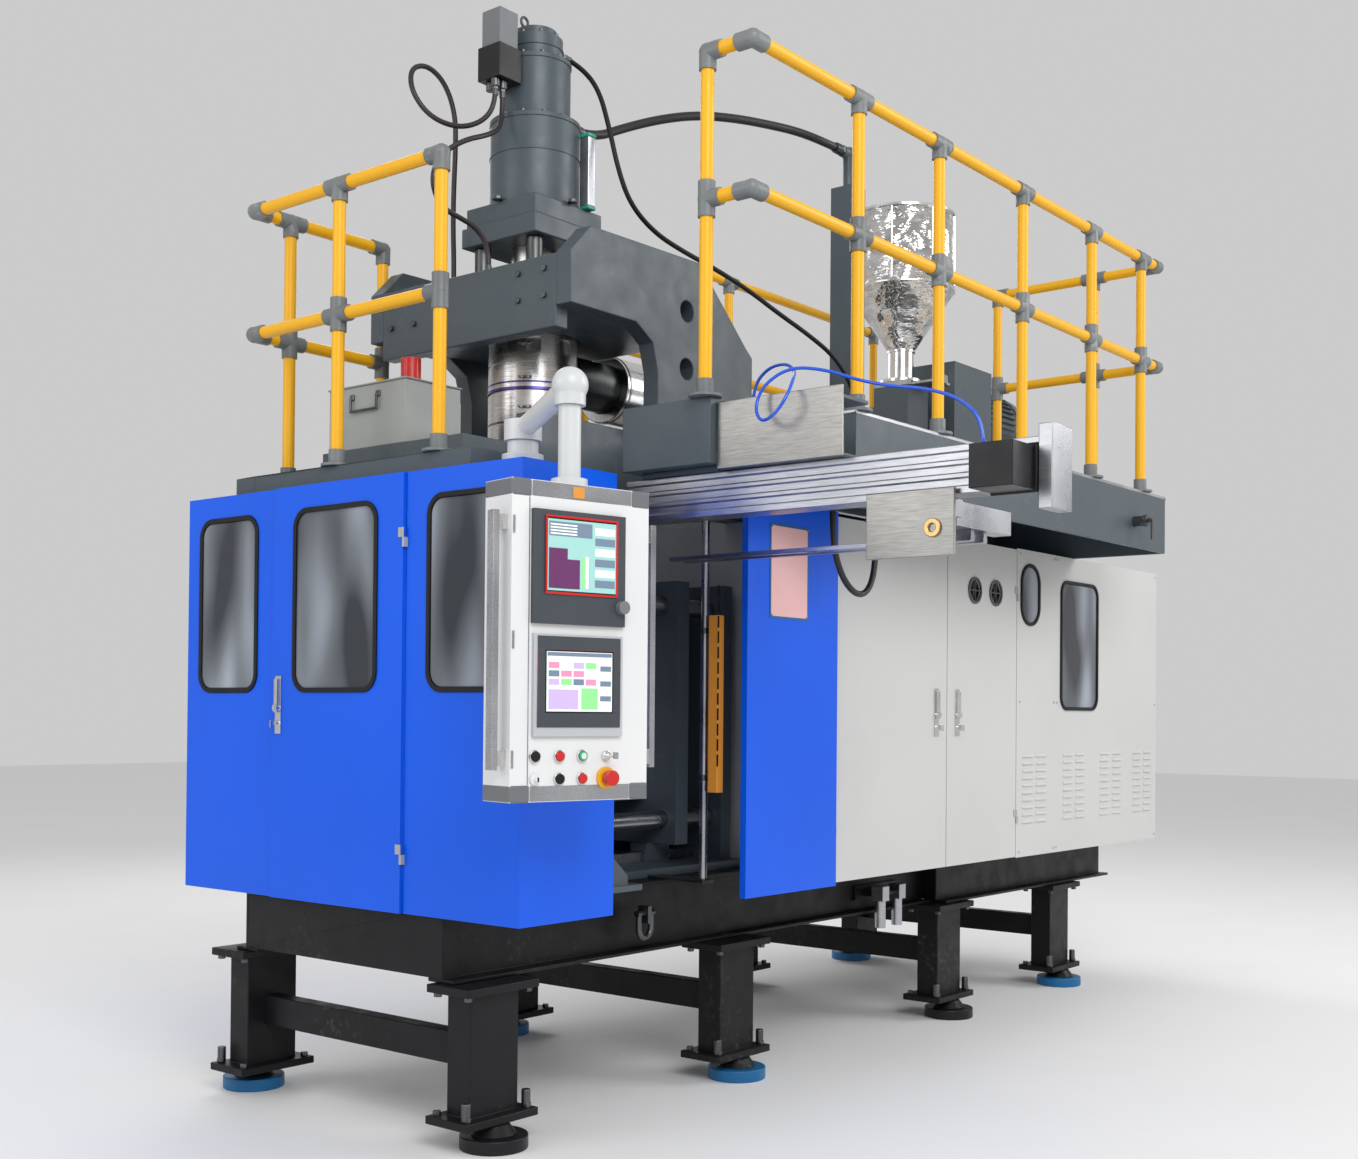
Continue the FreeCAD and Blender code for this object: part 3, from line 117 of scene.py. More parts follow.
# ---------------------------------------------------------------- settings
class MouldingSettings(bpy.types.PropertyGroup):
    blue: bpy.props.FloatVectorProperty(
        name="Casing blue", description="Colour of the mould bay's casing",
        subtype="COLOR", size=3, min=0, max=1, default=(0.001, 0.105, 0.80))
    grey: bpy.props.FloatVectorProperty(
        name="Cabinet grey", description="Colour of the power cabinet",
        subtype="COLOR", size=3, min=0, max=1, default=(0.585, 0.59, 0.575))
    slate: bpy.props.FloatVectorProperty(
        name="Structure slate", description="Colour of the head, platform and extruder castings",
        subtype="COLOR", size=3, min=0, max=1, default=(0.062, 0.083, 0.098))
    black: bpy.props.FloatVectorProperty(
        name="Base black", description="Colour of the base frame and legs",
        subtype="COLOR", size=3, min=0, max=1, default=(0.006, 0.006, 0.007))
    yellow: bpy.props.FloatVectorProperty(
        name="Rail yellow", description="Colour of the guard rails",
        subtype="COLOR", size=3, min=0, max=1, default=(0.86, 0.44, 0.010))
    louvre_pitch: bpy.props.FloatProperty(
        name="Louvre pitch", description="Height from one louvre to the next",
        default=0.0345, unit="LENGTH")
    bolt_size: bpy.props.FloatProperty(
        name="Bolt size", description="Width of a hexagon head",
        default=0.024, unit="LENGTH")
    lens: bpy.props.FloatProperty(
        name="Lens", description="Focal length on a 36 mm sensor",
        default=41.8, unit="CAMERA")
    floor_size: bpy.props.FloatProperty(
        name="Floor size", description="Width of the floor", default=60.0, unit="LENGTH")
    key_power: bpy.props.FloatProperty(
        name="Key light", description="Power of the large soft light over the operator side",
        default=450.0, unit="POWER")
    world_strength: bpy.props.FloatProperty(
        name="Room light", description="Strength of the even light all round", default=0.60)


def settings():
    """The sizes and colours that the sidebar offers."""
    return bpy.context.scene.moulding


# ---------------------------------------------------------------- shader groups
def new_group(name, inputs, outputs):
    """An empty node group with named sockets: (name, type, default)."""
    group = bpy.data.node_groups.new(name, "ShaderNodeTree")
    for label, kind, default in inputs:
        socket = group.interface.new_socket(label, in_out="INPUT", socket_type=kind)
        socket.default_value = default
    for label, kind in outputs:
        group.interface.new_socket(label, in_out="OUTPUT", socket_type=kind)
    start = group.nodes.new("NodeGroupInput")
    end = group.nodes.new("NodeGroupOutput")
    return group, start.outputs, end.inputs


def add(tree, kind, links=None, **values):
    """A node with its properties and inputs set: a socket is linked, anything else is a value."""
    node = tree.nodes.new(kind)
    for key, value in values.items():
        setattr(node, key, value)
    for key, value in (links or {}).items():
        if isinstance(value, bpy.types.NodeSocket):
            tree.links.new(value, node.inputs[key])
        else:
            node.inputs[key].default_value = value
    return node


def mix_colour(tree, factor, first, second):
    """Two colours mixed by a factor."""
    node = add(tree, "ShaderNodeMix", data_type="RGBA")
    for index, value in ((0, factor), (6, first), (7, second)):
        if isinstance(value, bpy.types.NodeSocket):
            tree.links.new(value, node.inputs[index])
        else:
            node.inputs[index].default_value = value
    return node.outputs[2]


def ranged(tree, value, low, high, out_low, out_high):
    """A value moved from one range to another."""
    node = add(tree, "ShaderNodeMapRange", {
        "Value": value, "From Min": low, "From Max": high, "To Min": out_low, "To Max": out_high})
    return node.outputs["Result"]


def noise(tree, vector, scale, detail):
    """A noise texture's value at a vector."""
    return add(tree, "ShaderNodeTexNoise",
               {"Vector": vector, "Scale": scale, "Detail": detail}).outputs["Fac"]


def counted(tree, operation, first, second):
    """The result of a two-sided sum."""
    return add(tree, "ShaderNodeMath", {0: first, 1: second}, operation=operation).outputs[0]


def paint_group():
    """Sprayed paint: slow tonal drift, orange peel, and sparse scuffs down to a second colour."""
    if "Paint film" in bpy.data.node_groups:
        return bpy.data.node_groups["Paint film"]
    group, given, result = new_group(
        "Paint film",
        [("Colour", "NodeSocketColor", (0.5, 0.5, 0.5, 1)),
         ("Drift Colour", "NodeSocketColor", (0.5, 0.5, 0.5, 1)),
         ("Worn Colour", "NodeSocketColor", (0.3, 0.3, 0.3, 1)),
         ("Wear", "NodeSocketFloat", 0.0), ("Smooth", "NodeSocketFloat", 0.3),
         ("Rough", "NodeSocketFloat", 0.45), ("Peel Scale", "NodeSocketFloat", 260.0)],
        [("Colour", "NodeSocketColor"), ("Roughness", "NodeSocketFloat"),
         ("Height", "NodeSocketFloat")])
    tex = add(group, "ShaderNodeTexCoord").outputs["Object"]
    drift = ranged(group, noise(group, tex, 1.4, 4.0), 0.35, 0.7, 0.0, 1.0)
    colour = mix_colour(group, drift, given["Colour"], given["Drift Colour"])
    patch = ranged(group, noise(group, tex, 3.1, 3.0), 0.50, 0.72, 0.0, 1.0)
    scratch = ranged(group, noise(group, tex, 42.0, 9.0), 0.54, 0.70, 0.0, 1.0)
    broken = counted(group, "MULTIPLY", patch, scratch)
    amount = add(group, "ShaderNodeMath", {0: broken, 1: given["Wear"]}, operation="MULTIPLY",
                 use_clamp=True).outputs[0]
    worn = mix_colour(group, amount, colour, given["Worn Colour"])
    group.links.new(worn, result["Colour"])
    smudge = noise(group, tex, 11.0, 6.0)
    group.links.new(ranged(group, smudge, 0.3, 0.7, given["Smooth"], given["Rough"]),
                    result["Roughness"])
    group.links.new(noise(group, tex, given["Peel Scale"], 2.0), result["Height"])
    return group


def grain_group():
    """Drawn or brushed metal: fine lines along one axis, blotches and a crumple."""
    if "Metal grain" in bpy.data.node_groups:
        return bpy.data.node_groups["Metal grain"]
    group, given, result = new_group(
        "Metal grain",
        [("Colour", "NodeSocketColor", (0.6, 0.6, 0.6, 1)),
         ("Dark Colour", "NodeSocketColor", (0.4, 0.4, 0.4, 1)),
         ("Stretch", "NodeSocketVector", (40.0, 40.0, 2.0)),
         ("Smooth", "NodeSocketFloat", 0.2), ("Rough", "NodeSocketFloat", 0.4),
         ("Crumple", "NodeSocketFloat", 0.0)],
        [("Colour", "NodeSocketColor"), ("Roughness", "NodeSocketFloat"),
         ("Height", "NodeSocketFloat")])
    tex = add(group, "ShaderNodeTexCoord").outputs["Object"]
    drawn = add(group, "ShaderNodeVectorMath", {0: tex, 1: given["Stretch"]},
                operation="MULTIPLY").outputs[0]
    lines = noise(group, drawn, 6.0, 3.0)
    blotch = noise(group, tex, 5.0, 5.0)
    tone = ranged(group, counted(group, "ADD", lines, blotch), 0.75, 1.25, 0.0, 1.0)
    group.links.new(mix_colour(group, tone, given["Dark Colour"], given["Colour"]),
                    result["Colour"])
    group.links.new(ranged(group, blotch, 0.3, 0.7, given["Smooth"], given["Rough"]),
                    result["Roughness"])
    cells = add(group, "ShaderNodeTexVoronoi", {"Vector": tex, "Scale": 9.0}, feature="SMOOTH_F1")
    folds = counted(group, "MULTIPLY", cells.outputs["Distance"], given["Crumple"])
    group.links.new(counted(group, "ADD", lines, folds), result["Height"])
    return group


def material(name, group, bump, distance, metallic, coat, gloss, **values):
    """A Principled material whose colour, roughness and bump come from a shared group."""
    made = bpy.data.materials.new(name)
    made.use_nodes = True
    tree = made.node_tree
    shader = tree.nodes["Principled BSDF"]
    film = tree.nodes.new("ShaderNodeGroup")
    film.node_tree = group
    for key, value in values.items():
        socket = film.inputs[key.replace("_", " ").title()]
        socket.default_value = (*value, 1) if socket.type == "RGBA" else value
    tree.links.new(film.outputs["Colour"], shader.inputs["Base Color"])
    tree.links.new(film.outputs["Roughness"], shader.inputs["Roughness"])
    relief = add(tree, "ShaderNodeBump", {
        "Height": film.outputs["Height"], "Strength": bump, "Distance": distance})
    tree.links.new(relief.outputs["Normal"], shader.inputs["Normal"])
    shader.inputs["Metallic"].default_value = metallic
    if coat:
        shader.inputs["Coat Weight"].default_value = coat
        shader.inputs["Coat Roughness"].default_value = 0.08
    if gloss:
        shader.inputs["Specular IOR Level"].default_value = gloss
    return made


def tint(colour, factor):
    """A colour made lighter or darker."""
    return tuple(min(1.0, c * factor) for c in colour)


def painted(name, colour, drift=0.9, worn=(0.25, 0.25, 0.26), wear=0.0, smooth=0.28, rough=0.42,
            peel=260.0, bump=0.04, coat=0.0, gloss=0.0):
    """A sprayed or moulded finish."""
    return material(name, paint_group(), bump, 0.002, 0.0, coat, gloss, colour=colour,
                    drift_colour=tint(colour, drift), worn_colour=worn, wear=wear, smooth=smooth,
                    rough=rough, peel_scale=peel)


def metal(name, colour, dark=0.7, stretch=(40.0, 40.0, 2.0), smooth=0.2, rough=0.4, crumple=0.0,
          bump=0.05, distance=0.002):
    """A bare metal finish."""
    return material(name, grain_group(), bump, distance, 1.0, 0.0, 0.0, colour=colour,
                    dark_colour=tint(colour, dark), stretch=stretch, smooth=smooth, rough=rough,
                    crumple=crumple)


def glazing(name, stops):
    """Greyish glass whose colour holds painted reflections and a painted view through it: soft
    upright bands of light and dark.
    """
    made = painted(name, (0.2, 0.2, 0.2), smooth=0.05, rough=0.1, bump=0.004, peel=3.0)
    tree = made.node_tree
    shader = tree.nodes["Principled BSDF"]
    tex = add(tree, "ShaderNodeTexCoord").outputs["Object"]
    upright = add(tree, "ShaderNodeVectorMath", {0: tex, 1: (3.4, 3.4, 1.1)},
                  operation="MULTIPLY").outputs[0]
    # painted reflections and painted view through the glass: upright noise bands drive the base
    # colour between dark, middle and pale
    bands = add(tree, "ShaderNodeTexNoise", {
        "Vector": upright, "Scale": 1.5, "Detail": 1.0, "Roughness": 0.4}).outputs["Fac"]
    ramp = add(tree, "ShaderNodeValToRGB", {"Fac": bands})
    marks = ramp.color_ramp.elements
    (dark_at, dark), (middle_at, middle), (pale_at, pale) = stops
    marks[0].position, marks[0].color = dark_at, (*dark, 1)
    marks[1].position, marks[1].color = pale_at, (*pale, 1)
    marks.new(middle_at).color = (*middle, 1)
    tree.links.new(ramp.outputs["Color"], shader.inputs["Base Color"])
    shader.inputs["IOR"].default_value = 1.45
    return made


def finish_table():
    """Each finish by its key: how it is made, its name, its colour, and what differs."""
    s = settings()
    return {
        "blue": (painted, "Blue enamel", s.blue,
                 dict(drift=0.92, smooth=0.30, rough=0.40, bump=0.015, gloss=0.32)),
        "blue_edge": (painted, "Dark blue edge", (0.004, 0.018, 0.09), dict(smooth=0.3)),
        "grey": (painted, "Grey enamel", s.grey,
                 dict(drift=0.94, smooth=0.36, rough=0.48, bump=0.015)),
        "slate": (painted, "Slate enamel", s.slate,
                  dict(drift=0.86, worn=(0.17, 0.19, 0.2), wear=0.25, smooth=0.34, rough=0.5,
                       peel=160.0)),
        "slate_dark": (painted, "Dark slate", tint(s.slate, 0.55), dict(drift=0.8)),
        "black": (painted, "Black base paint", s.black,
                  dict(drift=1.8, worn=(0.07, 0.062, 0.055), wear=0.7, smooth=0.30, rough=0.52,
                       peel=90.0, bump=0.1, gloss=0.22)),
        "yellow": (painted, "Yellow rail paint", s.yellow,
                   dict(drift=0.99, smooth=0.3, rough=0.4, bump=0.01, gloss=0.35)),
        "cast": (painted, "Grey cast fitting", (0.19, 0.205, 0.21),
                 dict(drift=0.7, worn=(0.5, 0.5, 0.5), wear=0.6, smooth=0.34, rough=0.55,
                      peel=120.0, bump=0.15)),
        "hinge": (painted, "Zinc hinge", (0.42, 0.43, 0.44),
                  dict(drift=0.8, smooth=0.3, rough=0.45)),
        "steel": (metal, "Machined steel", (0.50, 0.51, 0.52), dict(dark=0.6)),
        "dark_steel": (metal, "Oiled steel", (0.16, 0.165, 0.17),
                       dict(dark=0.5, smooth=0.28, rough=0.5)),
        "stainless": (metal, "Polished stainless", (0.80, 0.80, 0.79),
                      dict(dark=0.72, stretch=(30.0, 30.0, 3.0), smooth=0.12, rough=0.24,
                           bump=0.03)),
        "hopper": (metal, "Spun hopper sheet", (0.74, 0.73, 0.72),
                   dict(dark=0.6, stretch=(2.0, 2.0, 5.0), smooth=0.07, rough=0.16, crumple=3.0,
                        bump=0.55, distance=0.03)),
        "band": (metal, "Heater band", (0.66, 0.65, 0.64),
                 dict(dark=0.62, stretch=(3.0, 3.0, 60.0), rough=0.34, bump=0.12)),
        "heat": (metal, "Heat tinted steel", (0.13, 0.10, 0.38),
                 dict(dark=0.45, stretch=(5.0, 5.0, 40.0), smooth=0.18, rough=0.3)),
        "heat_brown": (metal, "Straw tinted steel", (0.34, 0.20, 0.20),
                       dict(dark=0.5, stretch=(5.0, 5.0, 40.0), rough=0.34)),
        "aluminium": (metal, "Drawn aluminium", (0.52, 0.53, 0.56),
                      dict(stretch=(50.0, 3.0, 50.0), smooth=0.24)),
        "plate": (metal, "Brushed plate", (0.42, 0.41, 0.39),
                  dict(dark=0.66, stretch=(50.0, 3.0, 50.0), smooth=0.28, rough=0.46)),
        "silver": (painted, "Silver cast arm", (0.62, 0.64, 0.65),
                   dict(smooth=0.26, rough=0.4, coat=0.2)),
        "white": (painted, "White enamel", (0.76, 0.765, 0.77),
                  dict(drift=0.95, smooth=0.3, bump=0.01)),
        "end_cap": (painted, "Grey end casting", (0.15, 0.16, 0.17),
                    dict(drift=0.85, smooth=0.34, rough=0.5)),
        "bezel": (painted, "Dark panel", (0.055, 0.065, 0.078),
                  dict(drift=0.85, smooth=0.3, rough=0.45)),
        "bezel_silver": (painted, "Silver panel", (0.50, 0.52, 0.54), dict(drift=0.92, rough=0.4)),
        "rubber": (painted, "Black rubber", (0.006, 0.006, 0.007),
                   dict(drift=0.7, smooth=0.42, rough=0.6, peel=400.0, gloss=0.3)),
        "plastic": (painted, "Black moulding", (0.009, 0.009, 0.011),
                    dict(drift=0.8, smooth=0.3, gloss=0.3)),
        "red": (painted, "Red moulding", (0.62, 0.012, 0.010),
                dict(drift=0.85, smooth=0.2, rough=0.3, coat=0.3)),
        "green": (painted, "Green moulding", (0.02, 0.42, 0.16),
                  dict(smooth=0.2, rough=0.3, coat=0.3)),
        "yellow_disc": (painted, "Yellow disc", (0.85, 0.42, 0.01),
                        dict(drift=0.95, smooth=0.3, rough=0.4)),
        "orange": (painted, "Orange seal", (0.75, 0.30, 0.04), dict(smooth=0.3, rough=0.4)),
        "tube_blue": (painted, "Blue air tube", (0.01, 0.10, 0.72),
                      dict(drift=0.8, smooth=0.16, rough=0.26, coat=0.4)),
        "pad_blue": (painted, "Blue pad rim", (0.0, 0.13, 0.33),
                     dict(drift=0.8, smooth=0.35, rough=0.5)),
        "brass": (metal, "Brass", (0.72, 0.50, 0.22), {}),
        "pink": (painted, "Pale card", (0.86, 0.50, 0.50), dict(smooth=0.4, rough=0.55)),
        "teal": (painted, "Teal cap", (0.02, 0.35, 0.24), dict(smooth=0.25, rough=0.35)),
        "tank": (painted, "Tank enamel", (0.34, 0.36, 0.35), dict(smooth=0.3, rough=0.45)),
        "hose": (painted, "Hose rubber", (0.010, 0.010, 0.012),
                 dict(drift=0.6, smooth=0.34, rough=0.5, peel=320.0, bump=0.3)),
        "hose_red": (painted, "Banded hose", (0.013, 0.008, 0.009),
                     dict(drift=1.8, smooth=0.3, rough=0.5, peel=320.0, bump=0.3)),
        "floor": (painted, "Pale floor", (0.86, 0.86, 0.86),
                  dict(drift=0.98, smooth=0.7, rough=0.8, peel=30.0)),
        # glass: the dark, middle and pale stops are painted reflections and a painted view through
        # the glass, in upright bands
        "glass": (glazing, "Grey glazing",
                  ((0.36, (0.028, 0.033, 0.042)), (0.52, (0.15, 0.165, 0.19)),
                   (0.70, (0.36, 0.40, 0.46))), {}),
    }


def palette(key):
    """A finish of the machine, made the first time it is asked for."""
    maker, name, colour, options = finish_table()[key]
    return bpy.data.materials.get(name) or maker(name, colour, **options)


def screen(name, colour, power):
    """A lit patch of a display, with a faint cell pattern."""
    made = painted(name, colour, 0.93, smooth=0.12, rough=0.2, peel=900.0, bump=0.01)
    shader = made.node_tree.nodes["Principled BSDF"]
    shader.inputs["Emission Color"].default_value = (*colour, 1)
    shader.inputs["Emission Strength"].default_value = power
    return made


# ---------------------------------------------------------------- making pieces
def finish_piece(name, work, body, finishes, bevel=0.0, segments=2):
    """Turns the bmesh into a piece that rides on the body, with finishes and rounded edges."""
    mesh = bpy.data.meshes.new(name)
    work.to_mesh(mesh)
    work.free()
    for key in finishes:
        mesh.materials.append(key if isinstance(key, bpy.types.Material) else palette(key))
    mesh.shade_smooth()
    mesh.set_sharp_from_angle(angle=SMOOTH_ANGLE)
    piece = bpy.data.objects.new(name, mesh)
    bpy.context.scene.collection.objects.link(piece)
    if bevel:
        rounding = piece.modifiers.new("Rounded edges", "BEVEL")
        rounding.width = bevel
        rounding.segments = segments
        rounding.limit_method = "ANGLE"
        rounding.angle_limit = BEVEL_ANGLE
        even = piece.modifiers.new("Even shading", "WEIGHTED_NORMAL")
        even.keep_sharp = True
    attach(piece, body)
    return piece


def islands(work):
    """The separate shells of a bmesh, each as its faces, middle and size in machine millimetres."""
    seen, shells = set(), []
    for face in work.faces:
        if face in seen:
            continue
        shell, queue = [], [face]
        seen.add(face)
        while queue:
            current = queue.pop()
            shell.append(current)
            for edge in current.edges:
                if len(edge.link_faces) != 2:
                    continue
                for other in edge.link_faces:
                    if other not in seen:
                        seen.add(other)
                        queue.append(other)
        points = [v.co for f in shell for v in f.verts]
        low = Vector([min(p[i] for p in points) for i in range(3)])
        high = Vector([max(p[i] for p in points) for i in range(3)])
        shells.append((shell, ((low + high) / 2 - CORNER) * 1000, (high - low) * 1000))
    return shells


def dressed(node, finishes, choose=None, bevel=0.002, segments=2, flat=FLAT):
    """A finer copy of a CAD node: joined flats, rounded edges and a finish for each shell."""
    work = bmesh.new()
    work.from_mesh(frame["nodes"][node].data)
    bmesh.ops.remove_doubles(work, verts=work.verts, dist=WELD)
    if flat:
        bmesh.ops.dissolve_limit(work, angle_limit=flat, verts=work.verts, edges=work.edges)
    if choose:
        for shell, middle, size in islands(work):
            index = finishes.index(choose(middle, size))
            for face in shell:
                face.material_index = index
    body = frame["nodes"][node]["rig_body"]
    piece = finish_piece(f"{node}_finished", work, body, finishes, bevel, segments)
    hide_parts(node)


def block(work, low, high, index=0, turn=None):
    """A closed box between two machine points; turn maps machine millimetres to the frame."""
    mapped = turn or at
    made = bmesh.ops.create_cube(work, size=1.0)["verts"]
    for vert in made:
        spot = [low[i] if vert.co[i] < 0 else high[i] for i in range(3)]
        vert.co = mapped(*spot)
    for face in {f for v in made for f in v.link_faces}:
        face.material_index = index
    return made


def disc(work, middle, axis, radius, length, index=0, sides=32, taper=1.0):
    """A closed round bar from a frame point along an axis, in metres."""
    turn = Vector(axis).to_track_quat("Z", "Y").to_matrix().to_4x4()
    place = Matrix.Translation(Vector(middle) + Vector(axis).normalized() * length / 2) @ turn
    made = bmesh.ops.create_cone(work, cap_ends=True, segments=sides, radius1=radius,
                                 radius2=radius * taper, depth=length, matrix=place)["verts"]
    for face in {f for v in made for f in v.link_faces}:
        face.material_index = index
    return made


def ring(work, middle, axis, inner, outer, length, sides=64):
    """A closed band round an axis, spun from its section."""
    axis = Vector(axis).normalized()
    side = axis.orthogonal().normalized()
    base = Vector(middle)
    corners = [base + side * inner, base + side * outer, base + side * outer + axis * length,
               base + side * inner + axis * length]
    verts = [work.verts.new(corner) for corner in corners]
    edges = [work.edges.new((verts[i], verts[(i + 1) % 4])) for i in range(4)]
    bmesh.ops.spin(work, geom=verts + edges, cent=base, axis=axis, angle=2 * math.pi,
                   steps=sides, use_merge=True)


def recalc(work):
    """Joins the points that meet and turns every face outwards."""
    bmesh.ops.remove_doubles(work, verts=work.verts, dist=1e-6)
    bmesh.ops.recalc_face_normals(work, faces=work.faces)


def bolt_circle(work, middle, radius, count, up, size=None, index=0, start=0.0, tall=0.012):
    """Hexagon heads with washers on a circle; middle in frame metres."""
    size = size or settings().bolt_size
    up = Vector(up).normalized()
    side = up.orthogonal().normalized()
    for step in range(count):
        turn = Matrix.Rotation(start + 2 * math.pi * step / count, 4, up)
        spot = Vector(middle) + turn @ (side * radius)
        disc(work, spot, up, size * 0.62, 0.002, index, 20)
        disc(work, spot + up * 0.002, up, size * 0.5, tall, index, 6, 0.97)


# ---------------------------------------------------------------- stage
class MOULDING_OT_stage(bpy.types.Operator):
    """Lays the floor, hangs the soft lights and sets the camera on the operator side"""
    bl_idname = "moulding.stage"
    bl_label = "Stage"

    def execute(self, context):
        s = settings()
        work = bmesh.new()
        bmesh.ops.create_grid(work, x_segments=1, y_segments=1, size=s.floor_size / 2)
        mesh = bpy.data.meshes.new("floor")
        work.to_mesh(mesh)
        work.free()
        mesh.materials.append(palette("floor"))
        floor = bpy.data.objects.new("floor", mesh)
        context.scene.collection.objects.link(floor)
        world = bpy.data.worlds.new("Room")
        world.use_nodes = True
        room = world.node_tree.nodes["Background"].inputs
        room["Color"].default_value = (1.0, 1.0, 1.0, 1)
        room["Strength"].default_value = s.world_strength
        context.scene.world = world
        context.scene.view_settings.view_transform = "Standard"
        lights = (("key", (-5.5, -6.5, 6.5), 5.0, 1.0), ("fill", (-8.0, 2.5, 4.0), 4.0, 0.22),
                  ("far", (5.0, -6.0, 5.5), 4.0, 0.5), ("back", (3.0, 6.0, 6.0), 4.0, 0.3))
        for name, spot, size, share in lights:
            lamp = bpy.data.lights.new(name, "AREA")
            lamp.energy = s.key_power * share
            lamp.size = size
            holder = bpy.data.objects.new(name, lamp)
            holder.location = spot
            aim = Vector((0, 0, 1.6)) - Vector(spot)
            holder.rotation_euler = aim.to_track_quat("-Z", "Y").to_euler()
            context.scene.collection.objects.link(holder)
        data = bpy.data.cameras.new("operator side")
        data.sensor_width = 36.0
        data.lens = s.lens
        data.shift_x, data.shift_y = 0.004, 0.0845
        data.clip_end = 200.0
        camera = bpy.data.objects.new("operator side", data)
        yaw, pitch, roll = math.radians(39.17), math.radians(0.65), math.radians(0.49)
        look = Vector((math.cos(yaw) * math.cos(pitch), math.sin(yaw) * math.cos(pitch),
                       math.sin(pitch)))
        level = Vector((math.sin(yaw), -math.cos(yaw), 0))
        rise = level.cross(look)
        right = math.cos(roll) * level + math.sin(roll) * rise
        up = math.cos(roll) * rise - math.sin(roll) * level
        turn = Matrix((right, up, -look)).transposed().to_4x4()
        camera.matrix_world = Matrix.Translation(at(-3216.8, -3184.0, 1311.8)) @ turn
        context.scene.collection.objects.link(camera)
        context.scene.camera = camera
        return {"FINISHED"}


# ---------------------------------------------------------------- casings
class MOULDING_OT_blue_casing(bpy.types.Operator):
    """Dresses the blue casing of the mould bay, its hinged door and its sliding door"""
    bl_idname = "moulding.blue_casing"
    bl_label = "Blue casing"

    def execute(self, context):
        def part(middle, size):
            return "hinge" if max(size) < 80 else "blue"

        dressed("corner_casing", ["blue", "hinge"], part, SHEET_EDGE)
        dressed("rear_casing", ["blue"], None, SHEET_EDGE)

        def door_part(middle, size):
            if size.z > 1000:
                return "blue"
            if size.z < 60:
                return "hinge"
            if size.z < 250:
                return "stainless"
            return "glass" if size.y < 395 and size.x < 8 else "rubber"

        dressed("side_door", ["blue", "hinge", "stainless", "glass", "rubber"], door_part,
                SHEET_EDGE)

        def slide_part(middle, size):
            if size.z < 100:
                return "dark_steel"
            return "blue" if size.x > 100 else "blue_edge"

        dressed("safety_door", ["blue", "blue_edge", "dark_steel"], slide_part, SHEET_EDGE)
        dressed("side_door_latch", ["stainless"], None, HANDLE_EDGE)
        work = bmesh.new()
        block(work, (1150, -45.6, 1636), (1382, -44.2, 1962), 1)
        block(work, (1158, -46.4, 1644), (1374, -45.4, 1954), 0)
        for x in (1160, 1372):
            for z in (1646, 1952):
                disc(work, at(x, -46.2, z), (0, -1, 0), 0.004, 0.003, 2, 16)
        recalc(work)
        finish_piece("placard", work, "safety_door", ["pink", "pad_blue", "steel"])
        return {"FINISHED"}


class MOULDING_OT_cabinet(bpy.types.Operator):
    """Dresses the grey power cabinet with its doors, latches, fans and louvres"""
    bl_idname = "moulding.cabinet"
    bl_label = "Power cabinet"

    def execute(self, context):
        def part(middle, size):
            return "hinge" if size.z < 60 and size.x < 60 else "grey"

        dressed("cabinet_casing", ["grey", "hinge"], part, PANEL_EDGE)

        def door_part(middle, size):
            if size.z > 1000:
                return "grey"
            if size.z > 150:
                return "stainless"
            return "hinge" if size.z < 60 else "dark_steel"

        finishes = ["grey", "hinge", "stainless", "dark_steel"]
        dressed("cabinet_door_left", finishes, door_part, PANEL_EDGE)
        dressed("cabinet_door_right", finishes, door_part, PANEL_EDGE, 2, 0.0)
        for label in ("cabinet_latch_left", "cabinet_latch_right"):
            dressed(label, ["stainless"], None, HANDLE_EDGE)
        for label in ("fan_left", "fan_right"):
            dressed(label, ["plastic"], None, BLADE_EDGE)
        pitch = settings().louvre_pitch * 1000 * 0.93
        work = bmesh.new()
        columns = ((3118, 100), (3248, 100), (3525, 92), (3655, 92), (3925, 100), (4065, 100),
                   (4312, 92), (4442, 92))
        for left, wide in columns:
            for row in range(10):
                low = 838 + row * pitch
                made = block(work, (left, -7.5, low), (left + wide, 0.5, low + 13))
                for vert in made:
                    spot = (vert.co - CORNER) * 1000
                    if spot.z > low + 6 and spot.y < -3:
                        vert.co.y = at(0, -1.2, 0).y
                        vert.co.x += 0.006 if spot.x < left + wide / 2 else -0.006
        recalc(work)
        finish_piece("louvres", work, "machine", ["grey"], 0.0008, 1)
        work = bmesh.new()
        for x in (3090, 3425, 3455, 4580):
            for z in (712, 1370, 2020):
                disc(work, at(x, -0.2, z), (0, -1, 0), 0.006, 0.003, 0, 20, 0.7)
        recalc(work)
        finish_piece("panel_screws", work, "machine", ["hinge"])
        return {"FINISHED"}


class MOULDING_OT_windows(bpy.types.Operator):
    """Glazes the fixed windows of both casings"""
    bl_idname = "moulding.windows"
    bl_label = "Windows"

    def execute(self, context):
        def part(middle, size):
            return "glass" if min(size) < 8 else "rubber"

        dressed("casing_windows", ["glass", "rubber"], part, PLATE_EDGE, 3)
        return {"FINISHED"}


